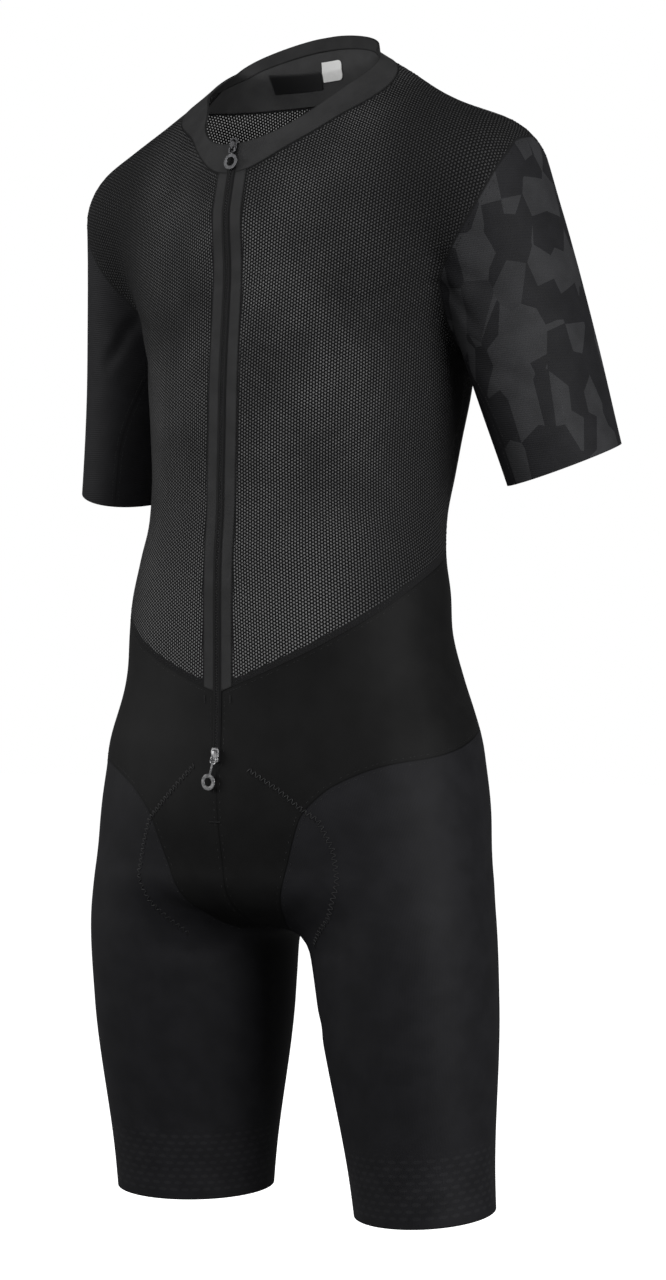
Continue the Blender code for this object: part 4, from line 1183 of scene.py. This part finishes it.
coil = mottled("coil", 0.35, 0.4, TOOTH_TONES, grain=800.0)
add_piece("zip_teeth", mesh_of("zip_teeth", *zip_teeth()), coil)

# ---- patches inside the neck: low x, high x, low z, high z, radius of the corners at the high end of x ----
PATCHES = {
    "neck_label": (-0.053, -0.0095, 0.0165, 0.0310, 0.0010),
    "size_tab": (-0.0075, 0.0130, 0.0220, 0.0380, 0.0040),
}
PATCH_FINISH = {"neck_label": ("label", (0.0065, 0.0065, 0.007)), "size_tab": ("tab", (0.78, 0.78, 0.77))}
PATCH_FROM = 0.0010  # inside the figure, to the patch's near and far faces
PATCH_TO = 0.0016
PATCH_GRID = (40, 16)
NECK_DEPTH = 0.12  # a place behind the figure's neck
HALVINGS = 30


def behind_neck(places):
    """Where lines going straight back from the middle of the neck meet the figure."""
    near, far = np.zeros(len(places)), np.full(len(places), NECK_DEPTH)
    for _ in range(HALVINGS):
        middle = (near + far) / 2
        out = body_field(np.column_stack([places[:, 0], middle, places[:, 1]])) > 0
        far = np.where(out, middle, far)
        near = np.where(out, near, middle)
    return np.column_stack([places[:, 0], middle, places[:, 1]])


def patch_mesh(name, low_x, high_x, low_z, high_z, corner):
    columns, rows = PATCH_GRID
    middle, half = (low_z + high_z) / 2, (high_z - low_z) / 2
    places = []
    for x in np.linspace(low_x, high_x, columns):
        past = max(x - (high_x - corner), 0)
        reach = half - corner + math.sqrt(max(corner**2 - past**2, 0))
        places += [(x, middle + share * reach) for share in np.linspace(-1, 1, rows)]
    places = np.array(places)
    skin = behind_neck(places)
    normals = outward(skin)
    grid = np.arange(len(skin)).reshape(columns, rows)
    corners = (grid[:-1, :-1], grid[:-1, 1:], grid[1:, 1:], grid[1:, :-1])
    a, b, c, d = (corner.ravel() for corner in corners)
    faces = np.vstack([np.column_stack([a, b, c]), np.column_stack([a, c, d])])
    near, far = skin - normals * PATCH_FROM, skin - normals * PATCH_TO
    mesh, loops = wall_mesh(name + "_patch", near, far, faces)
    keep_pattern(mesh, places[loops])
    return mesh


for name, sizes in PATCHES.items():
    slot_name, colour = PATCH_FINISH[name]
    item = add_piece(name + "_patch", patch_mesh(name, *sizes), film(name + "_film", colour))
    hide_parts(name)

# ---- sliders and pulls keep their solids, in plated metal ----
METALS = {
    "dark_metal": metal("dark_plating", (0.075, 0.075, 0.078), (0.115, 0.115, 0.12), 0.32),
    "pale_metal": metal("pale_plating", (0.45, 0.45, 0.46), (0.58, 0.58, 0.58), 0.28),
}
for name in ("slider_top", "pull_top", "slider_bottom", "pull_bottom"):
    plating = METALS["dark_metal" if name.endswith("top") else "pale_metal"]
    frame["nodes"][name].material_slots[0].material = plating

# ---- studio ----
FLOOR_Z = -1.05
FLOOR_SIZE = 30
FLOOR_TONES = ((0.93, 0.93, 0.93), (0.95, 0.95, 0.95))
FLOOR_NOISE = 3.0
FLOOR_GLOW = 0.9
ROOM_LIGHT = 0.14  # how brightly the white room lights the suit; the camera sees it as plain white
scene = bpy.context.scene
scene.view_settings.view_transform = "Standard"
world = bpy.data.worlds.new("studio")
scene.world = world
world.use_nodes = True
backdrop = world.node_tree.nodes["Background"]
backdrop.inputs[0].default_value = (1.0, 1.0, 1.0, 1.0)
seen = world.node_tree.nodes.new("ShaderNodeLightPath")
level = world.node_tree.nodes.new("ShaderNodeMapRange")
level.inputs["To Min"].default_value = ROOM_LIGHT
world.node_tree.links.new(seen.outputs["Is Camera Ray"], level.inputs["Value"])
world.node_tree.links.new(level.outputs[0], backdrop.inputs[1])

bpy.ops.mesh.primitive_plane_add(size=FLOOR_SIZE, location=(0, 0, FLOOR_Z))
floor = bpy.context.object
floor.name = "floor"
paint = Graph("floor_paint", 0.9, 0.1)
paint.set("Base Color", paint.mixed(paint.noise(paint.position(), FLOOR_NOISE), *FLOOR_TONES))
paint.set("Emission Color", (1.0, 1.0, 1.0))
paint.set("Emission Strength", FLOOR_GLOW)
floor.data.materials.append(paint.material)
floor.visible_diffuse = False
floor.visible_glossy = False
floor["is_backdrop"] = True

# name: place, size, power in watts
LAMPS = {
    "key": ((0.0, -3.6, 1.3), 2.4, 50.0),
    "right": ((3.8, -1.0, 0.2), 2.4, 155.0),
    "left": ((-3.4, -2.0, 0.8), 2.2, 90.0),
}
AIM = Vector((0.0, 0.0, -0.50))
for name, (place, size, power) in LAMPS.items():
    light = bpy.data.lights.new(name, "AREA")
    light.size = size
    light.energy = power
    lamp = placed(name, light)
    lamp.location = place
    lamp.rotation_euler = (AIM - Vector(place)).to_track_quat("-Z", "Y").to_euler()

# ---- camera, level with the hips and turned round to the wearer's left ----
VIEW_ANGLE = math.radians(35)
VIEW_DISTANCE = 2.2
VIEW_HEIGHT = -0.515
FOCAL_LENGTH = 74.25
VIEW_SHIFT = (0.035, 0.055)
CLEAR_BOUNCES = 12  # a ray may pass this many mesh holes
camera = bpy.data.cameras.new("camera")
camera.lens = FOCAL_LENGTH
camera.shift_x, camera.shift_y = VIEW_SHIFT
eye = placed("camera", camera)
eye.location = (VIEW_DISTANCE * math.sin(VIEW_ANGLE), -VIEW_DISTANCE * math.cos(VIEW_ANGLE), VIEW_HEIGHT)
eye.rotation_euler = (math.radians(90), 0, VIEW_ANGLE)
scene.camera = eye
scene.cycles.transparent_max_bounces = CLEAR_BOUNCES

sizes = {"before": [list(v) for v in size_before], "after": [list(v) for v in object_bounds()]}
